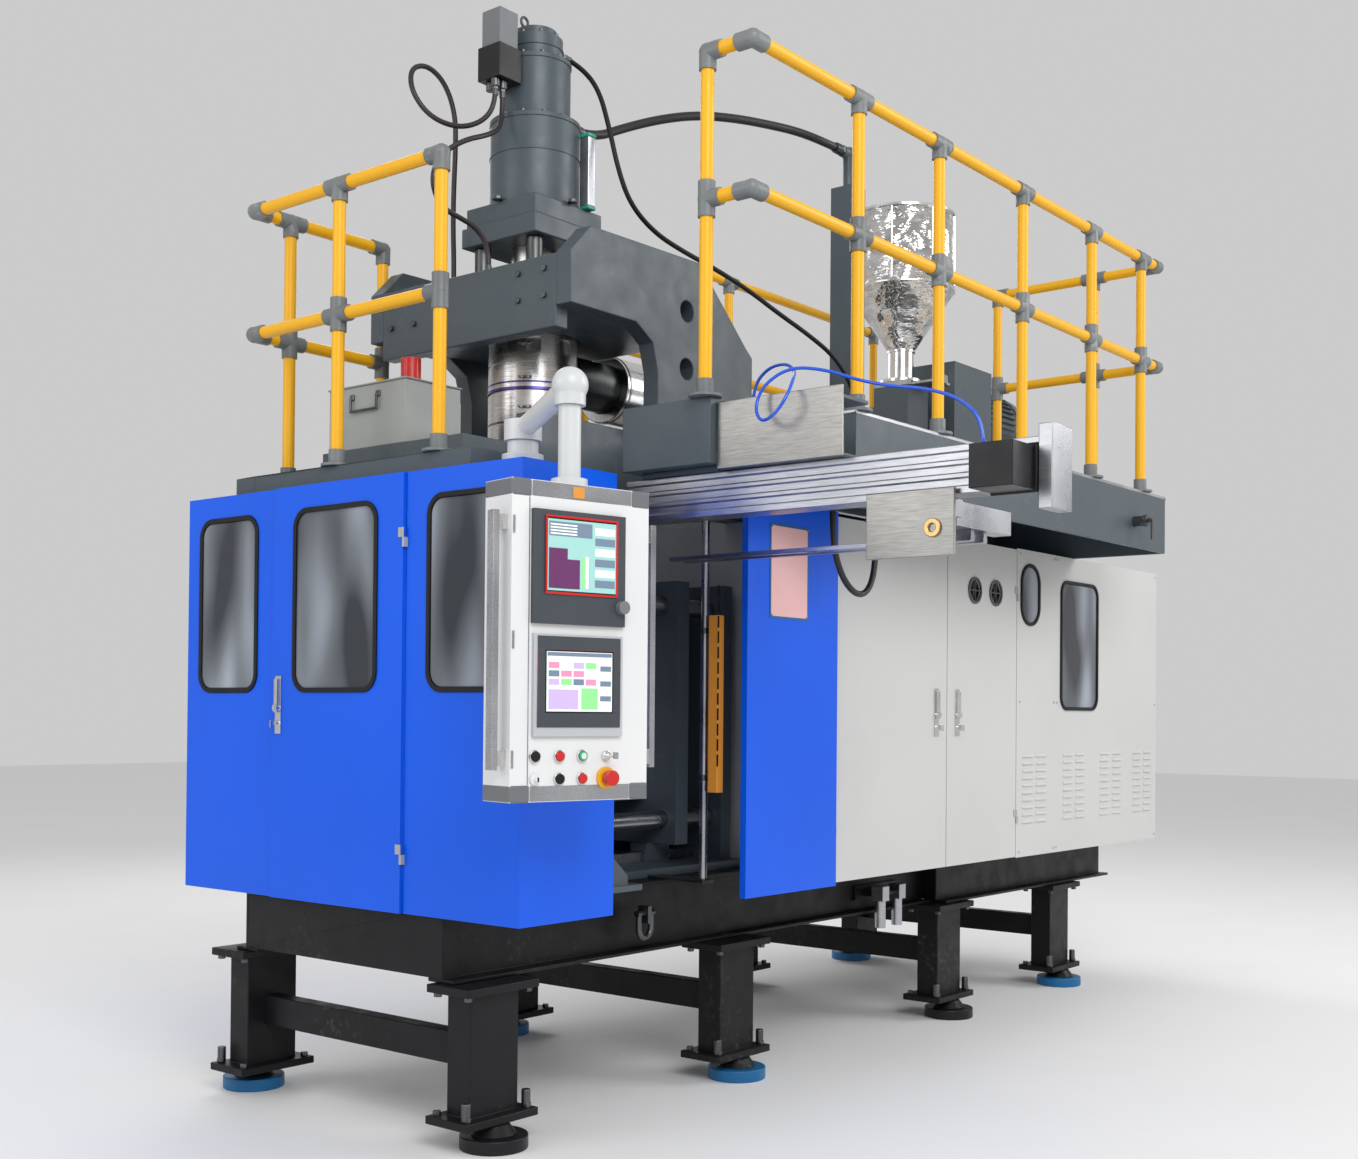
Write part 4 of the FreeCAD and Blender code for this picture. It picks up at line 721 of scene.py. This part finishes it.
class MOULDING_OT_base(bpy.types.Operator):
    """Dresses the welded base, its legs and its levelling pads"""
    bl_idname = "moulding.base"
    bl_label = "Base and legs"

    def execute(self, context):
        dressed("base_frame", ["black"], None, PLATE_EDGE)
        dressed("support_legs", ["black"], None, PLATE_EDGE)

        def foot(middle, size):
            if size.x > 200:
                black_pad = middle.y < 823 and (middle.x < 300 or 2500 < middle.x < 3200)
                return "plastic" if black_pad else "pad_blue"
            return "black" if size.x > 60 else "dark_steel"

        dressed("levelling_feet", ["plastic", "pad_blue", "black", "dark_steel"], foot,
                BLOCK_EDGE, 3)
        work = bmesh.new()
        for x in LEG_PLACES:
            reach = 549 if x > 2835 else 544
            for y in (BASE_MIDDLE - reach, BASE_MIDDLE + reach):
                for dx in (-LEG_BOLT_SPREAD[0], LEG_BOLT_SPREAD[0]):
                    for dy in (-LEG_BOLT_SPREAD[1], LEG_BOLT_SPREAD[1]):
                        for z, up in ((100, 1), (468, -1)):
                            disc(work, at(x + dx, y + dy, z), (0, 0, up), *LEG_BOLT, 0, 6)
        recalc(work)
        finish_piece("leg_bolts", work, "machine", ["dark_steel"], 0.001, 1)
        self.shackle()
        return {"FINISHED"}

    def shackle(self):
        """The lifting shackle hanging from its lug on the front beam."""
        work = bmesh.new()
        x, z, wire, leg = 866, 632, 0.0105, Vector((0, 0, 0.052))
        front = max((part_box("base_frame")[0].y - CORNER.y) * 1000, 283.0)
        block(work, (x - 9, front - 46, z - 34), (x + 9, front, z + 24))
        disc(work, at(x - 44, front - 24, z), (1, 0, 0), 0.011, 0.088, 0, 20)
        place = Matrix.Translation(at(x - 31, front - 24, z))
        bow = bmesh.ops.create_circle(work, cap_ends=False, segments=14, radius=wire,
                                      matrix=place)["verts"]
        rims = list({edge for vert in bow for edge in vert.link_edges})
        verts, edges = self.drawn(work, rims, -leg)
        turned = bmesh.ops.spin(work, geom=verts + edges, cent=at(x, front - 24, z) - leg,
                                axis=Vector((0, -1, 0)), angle=math.pi, steps=16,
                                use_merge=False)["geom_last"]
        self.drawn(work, [g for g in turned if isinstance(g, bmesh.types.BMEdge)], leg)
        bmesh.ops.holes_fill(work, edges=[e for e in work.edges if e.is_boundary], sides=0)
        recalc(work)
        finish_piece("shackle", work, "machine", ["dark_steel"])

    def drawn(self, work, edges, way):
        """Extrudes a loop of edges along a way: the new points and edges."""
        made = bmesh.ops.extrude_edge_only(work, edges=edges)["geom"]
        verts = [g for g in made if isinstance(g, bmesh.types.BMVert)]
        bmesh.ops.translate(work, verts=verts, vec=way)
        return verts, [g for g in made if isinstance(g, bmesh.types.BMEdge)]


# ---------------------------------------------------------------- platform and rails
class MOULDING_OT_platform(bpy.types.Operator):
    """Dresses the walkway, the extruder bed and the guard rails"""
    bl_idname = "moulding.platform"
    bl_label = "Walkway and rails"

    def execute(self, context):
        def part(middle, size):
            return "aluminium" if size.x > 1000 and size.z < 45 else "slate"

        dressed("platform", ["slate", "aluminium"], part, PLATE_EDGE)
        dressed("guard_rail_tubes", ["yellow"], None, 0.0)
        dressed("guard_rail_fittings", ["cast"], None, FITTING_EDGE, 2)
        return {"FINISHED"}


# ---------------------------------------------------------------- head
class MOULDING_OT_head(bpy.types.Operator):
    """Dresses the accumulator head, its side plates, cylinders and valve"""
    bl_idname = "moulding.head"
    bl_label = "Die head"

    def execute(self, context):
        def carrier(middle, size):
            return "dark_steel" if size.x < 70 and size.y < 70 else "slate"

        dressed("head_carrier", ["slate", "dark_steel"], carrier, CASTING_EDGE, 3)
        dressed("cheek_plates", ["slate"], None, PLATE_EDGE)
        dressed("die_head", ["band"], None, FINE_EDGE)
        dressed("die_mandrel", ["dark_steel"], None, FINE_EDGE)
        dressed("head_cylinder", ["slate"], None, BLOCK_EDGE, 3)

        def valve(middle, size):
            if size.z < 14:
                return "teal"
            if size.z > 200:
                return "aluminium"
            if size.z < 40:
                return "dark_steel"
            return "plastic" if middle.z < 3655 else "end_cap"

        dressed("servo_valve", ["teal", "aluminium", "dark_steel", "plastic", "end_cap"],
                valve, PLATE_EDGE)
        x, y = HEAD_AXIS
        for label, key, bands in (
                ("tinted_rings", "heat", ((2447, 10, 2.2), (2472, 6, 1.2), (2237, 8, 1.6))),
                ("straw_rings", "heat_brown", ((2112, 12, 1.5), (2330, 5, 1.5), (2200, 10, 1.5)))):
            work = bmesh.new()
            for z, tall, grow in bands:
                ring(work, at(x, y, z), (0, 0, 1), 0.150, 0.161 + grow / 1000, tall / 1000)
            recalc(work)
            finish_piece(label, work, "machine", [key], 0.0006, 1)
        work = bmesh.new()
        for z in (2160, 2290, 2385, 2490, 2610):
            for turn in (215, 20):
                angle = math.radians(turn)
                out = Vector((math.cos(angle), math.sin(angle), 0))
                side = Vector((-out.y, out.x, 0))
                base = at(x, y, z) + out * 0.158
                for shift in (-0.012, 0.012):
                    disc(work, base + side * shift, out, 0.006, 0.014, 0, 8)
                disc(work, base + out * 0.009 - side * 0.024, side, 0.004, 0.048, 0, 12)
        recalc(work)
        finish_piece("band_screws", work, "machine", ["steel"])
        work = bmesh.new()
        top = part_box("head_carrier")[1].z * 1000
        bolt_circle(work, at(x, y, top), 0.187, 4, (0, 0, 1), 0.03, 0, math.radians(45))
        for level, radius, count in ((3434, 0.145, 12), (3658, 0.113, 10), (3744, 0.086, 8)):
            bolt_circle(work, at(x, y, level), radius, count, (0, 0, 1), 0.018, 0, 0.2, 0.01)
        for dx in (-240, -60, 120, 240):
            for dy in (-330, 330):
                disc(work, at(x + dx, y + dy, 2823), (0, 0, 1), 0.014, 0.012, 0, 6)
        for dz in (40, 130):
            for dy in (-380, -260, 260, 380):
                disc(work, at(540, y + dy, 2648 + dz), (-1, 0, 0), 0.011, 0.01, 0, 6)
        recalc(work)
        finish_piece("head_bolts", work, "machine", ["dark_steel"], 0.0008, 1)
        work = bmesh.new()
        for level, radius, tall in (
                (3119, 0.164, 16), (3300, 0.1632, 6), (3418, 0.164, 16), (3440, 0.129, 10),
                (3642, 0.129, 16), (3700, 0.100, 6)):
            ring(work, at(x, y, level), (0, 0, 1), radius - 0.012, radius + 0.0015, tall / 1000)
        recalc(work)
        finish_piece("cylinder_rims", work, "machine", ["slate"], 0.0012, 2)
        return {"FINISHED"}


# ---------------------------------------------------------------- extruder and hopper
class MOULDING_OT_extruder(bpy.types.Operator):
    """Dresses the extruder's barrel, drive and hopper"""
    bl_idname = "moulding.extruder"
    bl_label = "Extruder and hopper"

    def execute(self, context):
        def barrel(middle, size):
            if size.x > 1000:
                return "dark_steel"
            return "stainless" if size.z > 230 and size.x > 200 else "slate"

        dressed("extruder_barrel", ["stainless", "dark_steel", "slate"], barrel, PLATE_EDGE)
        dressed("extruder_screw", ["steel"], None, FINE_EDGE)
        dressed("extruder_drive", ["slate"], None, CASTING_EDGE, 3)

        def hopper(middle, size):
            if size.z > 600 and size.x < 200 or size.z > 1000:
                return "slate"
            if size.z > 400 and size.x > 300:
                return "hopper"
            if size.z > 100 and middle.z > 2900:
                return "stainless"
            return "slate" if middle.z < 2900 else "steel"

        dressed("feed_hopper", ["hopper", "slate", "steel", "stainless"], hopper, 0.0)
        dressed("hopper_gate", ["steel"], None, FINE_EDGE)
        x, y = HOPPER_AXIS
        work = bmesh.new()
        ring(work, at(x, y, 3726), (0, 0, 1), 0.254, 0.262, 0.012)
        ring(work, at(x, y, 3366), (0, 0, 1), 0.254, 0.259, 0.008)
        ring(work, at(x, y, 3074), (0, 0, 1), 0.060, 0.068, 0.01)
        for turn in (200, 245, 290):
            angle = math.radians(turn)
            out = Vector((math.cos(angle), math.sin(angle), 0))
            disc(work, at(x, y, 3385) + out * 0.2565, (0, 0, 1), 0.004, 0.34, 0, 10)
        recalc(work)
        finish_piece("hopper_rims", work, "machine", ["stainless"], 0.001, 2)
        work = bmesh.new()
        middle = at(4020, BASE_MIDDLE, 2830)
        for step in range(36):
            angle = 2 * math.pi * step / 36
            out = Vector((0, math.cos(angle), math.sin(angle)))
            if abs(out.y) < 0.42 and out.z < 0:
                continue
            side = Vector((0, -out.z, out.y))
            made = bmesh.ops.create_cube(work, size=1.0)["verts"]
            for vert in made:
                vert.co = (middle + Vector((1, 0, 0)) * (0.02 + (vert.co.x + 0.5) * 0.27)
                           + out * (0.160 + (vert.co.y + 0.5) * 0.022) + side * vert.co.z * 0.005)
        recalc(work)
        finish_piece("motor_fins", work, "machine", ["slate_dark"])
        work = bmesh.new()
        for index in range(7):
            start = 1259 + index * 290
            for shift in (16, 250):
                ring(work, at(start + shift, BASE_MIDDLE, BARREL_LEVEL), (1, 0, 0), 0.126, 0.1305,
                     0.006, 48)
        recalc(work)
        finish_piece("barrel_clamps", work, "machine", ["steel"])
        return {"FINISHED"}


# ---------------------------------------------------------------- take-out, clamp and services
class MOULDING_OT_takeout(bpy.types.Operator):
    """Dresses the take-out beam, its carriage and its grippers"""
    bl_idname = "moulding.takeout"
    bl_label = "Take-out unit"

    def execute(self, context):
        def beam(middle, size):
            if size.y > 1000:
                return "aluminium"
            if middle.y < -1200 and size.x < 135 and size.y < 60:
                return "aluminium"
            if middle.y < -1000:
                return "plastic"
            return "plate" if size.z > 100 and size.x < 20 else "slate"

        dressed("takeout_beam", ["aluminium", "plastic", "plate", "slate"], beam, PLATE_EDGE)

        def carriage(middle, size):
            if size.x >= 20:
                return "aluminium"
            return "plate" if size.z > 100 else "brass"

        dressed("takeout_carriage", ["plate", "brass", "aluminium"], carriage, BAR_EDGE)
        for label in ("gripper_left", "gripper_right"):
            dressed(label, ["aluminium"], None, BAR_EDGE)
        return {"FINISHED"}


class MOULDING_OT_clamp(bpy.types.Operator):
    """Dresses the mould clamp inside the bay"""
    bl_idname = "moulding.clamp"
    bl_label = "Mould clamp"

    def execute(self, context):
        def frame_part(middle, size):
            return "steel" if size.x > 1000 and size.z < 80 and size.y < 80 else "slate"

        dressed("clamp_frame", ["slate", "steel"], frame_part, BLOCK_EDGE)

        def platen(middle, size):
            return "steel" if size.y < 650 else "slate"

        dressed("platen_left", ["steel", "slate"], platen, PLATE_EDGE)
        dressed("platen_right", ["steel", "slate"], platen, PLATE_EDGE)
        dressed("blow_pin", ["stainless"], None, FINE_EDGE)

        def curtain(middle, size):
            if size.z > 1000:
                return "steel"
            return "orange" if size.z > 400 else "dark_steel"

        dressed("light_curtain", ["steel", "orange", "dark_steel"], curtain, BAR_EDGE)
        front = (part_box("light_curtain")[0].y - CORNER.y) * 1000
        work = bmesh.new()
        for step in range(12):
            z = 1130 + step * 52
            block(work, (998, front - 0.6, z), (1006, front + 0.6, z + 40))
        recalc(work)
        finish_piece("curtain_lenses", work, "machine", ["plastic"])
        return {"FINISHED"}


class MOULDING_OT_services(bpy.types.Operator):
    """Dresses the oil tank, the ball valve and the air service unit"""
    bl_idname = "moulding.services"
    bl_label = "Services"

    def execute(self, context):
        def tank(middle, size):
            if middle.z > 2400 and size.z > 60:
                return "red"
            if size.z < 12 or size.z > 200:
                return "tank"
            return "dark_steel"

        dressed("oil_tank", ["tank", "red", "dark_steel"], tank, PLATE_EDGE)

        def fitting(middle, size):
            if middle.y < -400:
                return "dark_steel"
            if size.x > 200:
                return "black"
            return "aluminium" if size.x < 60 and size.z > 90 else "plastic"

        dressed("service_fittings", ["dark_steel", "black", "aluminium", "plastic"], fitting,
                BAR_EDGE)
        dressed("ball_valve_lever", ["dark_steel"], None, HANDLE_EDGE)
        return {"FINISHED"}


# ---------------------------------------------------------------- operator pendant
class MOULDING_OT_pendant(bpy.types.Operator):
    """Dresses the swinging operator pendant, its screens and its controls"""
    bl_idname = "moulding.pendant"
    bl_label = "Operator pendant"

    def execute(self, context):
        dressed("pendant_bracket", ["silver"], None, PLATE_EDGE)
        dressed("pendant_arm", ["silver"], None, BLOCK_EDGE, 3)

        def part(middle, size):
            if size.z > 700 and size.x > 300:
                return "white"
            if size.z < 60 and size.x > 300:
                return "end_cap"
            if size.z > 600:
                return "aluminium"
            if middle.z > 1950 or size.z > 150 and size.x < 120:
                return "silver"
            if size.z > 280 and middle.z > 1500:
                return "bezel"
            if size.z > 250:
                return "bezel_silver"
            if size.z > 160:
                return "plastic"
            return "yellow_disc" if size.z > 50 else "stainless"

        finishes = ["white", "end_cap", "aluminium", "silver", "bezel", "bezel_silver", "plastic",
                    "yellow_disc", "stainless"]
        dressed("pendant_box", finishes, part, PLATE_EDGE, 3)
        for label, key in (
                ("black_button_upper", "plastic"), ("red_button_upper", "red"),
                ("green_button", "green"), ("key_switch", "stainless"),
                ("white_selector", "white"), ("black_button_lower", "plastic"),
                ("red_button_lower", "red"), ("emergency_stop", "red"), ("dial_knob", "cast")):
            dressed(label, [key], None, BUTTON_EDGE, 3)
        self.screens()
        self.trim()
        return {"FINISHED"}

    def screens(self):
        """Lit patches of the two displays: generic fields, bars and keys."""
        finishes = [screen(f"Display {name}", colour, power) for name, colour, power in (
            ("sea", (0.30, 0.55, 0.52), 0.35), ("plum", (0.13, 0.03, 0.12), 0.2),
            ("pale", (0.72, 0.78, 0.76), 0.4), ("rose", (0.80, 0.25, 0.42), 0.35),
            ("leaf", (0.25, 0.70, 0.25), 0.35), ("dusk", (0.16, 0.22, 0.30), 0.25),
            ("lilac", (0.52, 0.40, 0.72), 0.35))]
        work = bmesh.new()

        def patch(left, right, low, high, layer, index, base=PENDANT_FRONT - 16):
            front = base - 0.6 * layer
            block(work, (left, front, low), (right, front + 0.5, high), index, on_pendant)

        patch(-124, 100, 556, 744, 1, 0)
        patch(-120, -20, 562, 640, 2, 1)
        patch(-120, -60, 640, 668, 2, 1)
        patch(-96, -44, 562, 600, 3, 1)
        patch(-120, 20, 700, 738, 2, 5)
        for row in range(4):
            patch(-116, -30, 704 + row * 8, 708 + row * 8, 3, 2)
        for row in range(6):
            patch(30, 96, 570 + row * 28, 590 + row * 28, 2, 2 if row % 2 else 5)
        for column in range(3):
            patch(-14 + column * 13, -4 + column * 13, 566, 650, 2, (4, 2, 0)[column])
        low_base = PENDANT_FRONT - 14
        patch(-122, 92, 238, 396, 1, 2, low_base)
        for row in range(3):
            for column in range(4):
                index = (3, 2, 6, 4, 5, 3)[(row * 4 + column) % 6]
                left, low = -116 + column * 40, 352 - row * 22
                patch(left, left + 34, low, low + 16, 2, index, low_base)
        patch(-116, -20, 244, 296, 2, 6, low_base)
        patch(-10, 44, 244, 300, 2, 4, low_base)
        for row in range(7):
            patch(52, 88, 246 + row * 20, 260 + row * 20, 2, 5 if row % 2 else 2, low_base)
        patch(-120, 90, 384, 394, 2, 5, low_base)
        recalc(work)
        finish_piece("displays", work, "pendant_box", finishes)

    def trim(self):
        """Frames, corner castings, the mitred door lines and small fixings of the pendant."""
        work = bmesh.new()
        front = PENDANT_FRONT - 16

        def bar(left, right, low, high, start, end, index):
            block(work, (left, start, low), (right, end, high), index, on_pendant)

        for left, right, low, high in ((-130, 106, 748, 754), (-130, 106, 546, 552),
                                       (-130, -124, 552, 748), (100, 106, 552, 748)):
            bar(left, right, low, high, front - 2.4, front + 2, 0)
        for left, right, low, high in ((-150, 120, 400, 436), (-150, 120, 196, 234),
                                       (-150, -126, 234, 400), (96, 120, 234, 400)):
            bar(left, right, low, high, PENDANT_FRONT - 15, PENDANT_FRONT - 11, 1)
        recalc(work)
        finish_piece("display_frames", work, "pendant_box", ["red", "bezel"], 0.001, 2)
        work = bmesh.new()
        for side in (-1, 1):
            outer, inner = side * 226.5, side * 163
            for low, high in ((-1.5, 46), (798, 845.5)):
                bar(min(outer, inner), max(outer, inner), low, high, PENDANT_FRONT - 3,
                    PENDANT_FRONT + 131, 0)
        recalc(work)
        finish_piece("pendant_corners", work, "pendant_box", ["end_cap"], 0.007, 3)
        work = bmesh.new()
        for low, high in ((0, 44), (800, 844)):
            bar(-163, 163, low + 2, high - 2, PENDANT_FRONT - 1.5, PENDANT_FRONT + 4, 0)
        bar(-172, -168, 46, 798, PENDANT_FRONT - 0.8, PENDANT_FRONT + 2, 0)
        for low in (90, 400, 700):
            bar(-222, -216, low, low + 46, PENDANT_FRONT - 4, PENDANT_FRONT + 4, 0)
        recalc(work)
        finish_piece("pendant_trim", work, "pendant_box", ["aluminium"], 0.0008, 1)
        work = bmesh.new()
        bar(-34, 4, 806, 836, PENDANT_FRONT - 3.2, PENDANT_FRONT - 1.2, 0)
        recalc(work)
        finish_piece("pendant_seal", work, "pendant_box", ["orange"], 0.001, 1)
        work = bmesh.new()
        out = (on_pendant(0, -1, 0) - on_pendant(0, 0, 0)).normalized()
        disc(work, on_pendant(2, PENDANT_FRONT - 12.6, 120), out, 0.0085, 0.0012, 0, 28)
        recalc(work)
        finish_piece("green_button_lens", work, "green_button", ["white"], 0.0004, 1)
        work = bmesh.new()
        block(work, (-152, PENDANT_FRONT - 22.5, 54), (-148, PENDANT_FRONT - 20, 66), 0, on_pendant)
        recalc(work)
        finish_piece("selector_mark", work, "white_selector", ["plastic"])
        work = bmesh.new()
        block(work, (80.4, PENDANT_FRONT - 58, 112), (83.6, PENDANT_FRONT - 36, 130), 0,
              on_pendant)
        recalc(work)
        finish_piece("key_bow", work, "key_switch", ["steel"], 0.001, 2)


# ---------------------------------------------------------------- hoses
ROUTES = {
    # name: (diameter, length, finish, stiffness, points)
    "head_hose": (0.034, 1.408, "hose", "stiff", [
        (1048, 803, 3470), (1165, 803, 3470), (1310, 768, 3545), (1460, 706, 3610),
        (1620, 655, 3660), (1800, 608, 3690), (1975, 566, 3706), (2130, 528, 3714),
        (2262, 472, 3690), (2367, 472, 3690)]),
    "head_cable": (0.018, 2.340, "rubber", "medium", [
        (961, 763, 3700), (1003, 718, 3668), (1018, 640, 3570), (1020, 590, 3420),
        (1035, 560, 3270), (1080, 540, 3150), (1190, 520, 3070), (1330, 500, 3030),
        (1500, 480, 3000), (1680, 450, 2950), (1860, 430, 2890), (2030, 410, 2840),
        (2190, 380, 2770), (2290, 360, 2660), (2335, 352, 2520), (2350, 350, 2400),
        (2350, 350, 2295)]),
    "servo_hose": (0.018, 1.425, "hose_red", "medium", [
        (656, 803, 3505), (656, 803, 3440), (610, 822, 3370), (520, 850, 3330),
        (420, 885, 3350), (365, 915, 3430), (385, 940, 3520), (470, 950, 3560),
        (550, 945, 3520), (595, 940, 3420), (606, 950, 3300), (616, 968, 3170),
        (630, 985, 3040), (650, 1000, 2920), (650, 1000, 2823)]),
    "return_hose": (0.018, 0.989, "hose_red", "medium", [
        (691, 803, 3505), (691, 803, 3425), (655, 779, 3350), (565, 745, 3295),
        (460, 748, 3250), (385, 778, 3190), (352, 790, 3115), (368, 792, 3045),
        (412, 786, 3005), (470, 777, 2992), (530, 768, 2975), (575, 762, 2935),
        (590, 760, 2880), (590, 760, 2823)]),
    "drop_hose": (0.022, 0.760, "hose", "medium", [
        (1300, -200, 2040), (1300, -200, 1950), (1308, -204, 1860), (1342, -212, 1782),
        (1404, -216, 1732), (1474, -215, 1726), (1534, -210, 1768), (1568, -204, 1850),
        (1576, -200, 1945), (1576, -200, 2040)]),
    "air_tube": (0.010, 1.532, "tube_blue", "limp", [
        (700, -300, 2255), (700, -300, 2320), (696, -360, 2370), (680, -440, 2370),
        (640, -500, 2330), (570, -540, 2290), (520, -560, 2240), (500, -530, 2180),
        (510, -470, 2160), (530, -430, 2210), (545, -450, 2280), (580, -520, 2330),
        (630, -610, 2320), (660, -710, 2280), (665, -820, 2250), (660, -930, 2230),
        (650, -1040, 2190), (645, -1120, 2120), (645, -1120, 2050)]),
}


class MOULDING_OT_hoses(bpy.types.Operator):
    """Runs the hoses, the head's cable and the air tube along their routes"""
    bl_idname = "moulding.hoses"
    bl_label = "Hoses and cable"

    def execute(self, context):
        for name, (diameter, length, key, stiffness, points) in ROUTES.items():
            data = bpy.data.curves.new(f"{name}_line", "CURVE")
            data.dimensions = "3D"
            line = data.splines.new("NURBS")
            line.points.add(len(points) - 1)
            for point, spot in zip(line.points, points):
                point.co = (*at(*spot), 1)
            line.order_u = 3
            line.use_endpoint_u = True
            line.resolution_u = 12
            data.bevel_depth = diameter / 2
            data.bevel_resolution = 5
            data.use_fill_caps = True
            data.materials.append(palette(key))
            piece = bpy.data.objects.new(f"{name}_run", data)
            context.scene.collection.objects.link(piece)
            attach(piece, "machine")
            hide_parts(name)
            self.ferrules(name, diameter / 2, points)
        return {"FINISHED"}

    def ferrules(self, name, radius, points):
        """The crimped sleeve and nut at each end of a hose."""
        work = bmesh.new()
        for end, inner in ((points[0], points[1]), (points[-1], points[-2])):
            way = (at(*inner) - at(*end)).normalized() * radius
            disc(work, at(*end), way, radius * 1.45, radius * 1.1, 0, 6)
            disc(work, at(*end) + way * 1.1, way, radius * 1.22, radius * 2.2, 0, 24)
            for step in range(3):
                groove = at(*end) + way * (1.3 + 0.6 * step)
                disc(work, groove, way, radius * 1.32, radius * 0.25, 0, 24)
        recalc(work)
        key = "dark_steel" if radius > 0.006 else "tube_blue"
        finish_piece(f"{name}_ferrules", work, "machine", [key], 0.0006, 1)


# ---------------------------------------------------------------- panel and registration
OPERATORS = (
    MOULDING_OT_stage, MOULDING_OT_hoses, MOULDING_OT_blue_casing, MOULDING_OT_cabinet,
    MOULDING_OT_windows, MOULDING_OT_base, MOULDING_OT_platform, MOULDING_OT_head,
    MOULDING_OT_extruder, MOULDING_OT_takeout, MOULDING_OT_clamp, MOULDING_OT_services,
    MOULDING_OT_pendant,
)


class MOULDING_PT_panel(bpy.types.Panel):
    """The machine's parts, one button each"""
    bl_idname = "MOULDING_PT_panel"
    bl_label = "Blow moulding machine"
    bl_space_type = "VIEW_3D"
    bl_region_type = "UI"
    bl_category = "Moulding"

    def draw(self, context):
        for key in MouldingSettings.__annotations__:
            self.layout.prop(context.scene.moulding, key)
        for operator in OPERATORS:
            self.layout.operator(operator.bl_idname)


CLASSES = (MouldingSettings, *OPERATORS, MOULDING_PT_panel)


def register():
    """Makes the settings, the operators and the panel known."""
    for item in CLASSES:
        bpy.utils.register_class(item)
    bpy.types.Scene.moulding = bpy.props.PointerProperty(type=MouldingSettings)


def unregister():
    """Takes them away again."""
    del bpy.types.Scene.moulding
    for item in reversed(CLASSES):
        bpy.utils.unregister_class(item)


def main():
    """Runs every operator in order."""
    register()
    for operator in OPERATORS:
        group, name = operator.bl_idname.split(".")
        getattr(getattr(bpy.ops, group), name)()


if __name__ == "__main__":
    main()
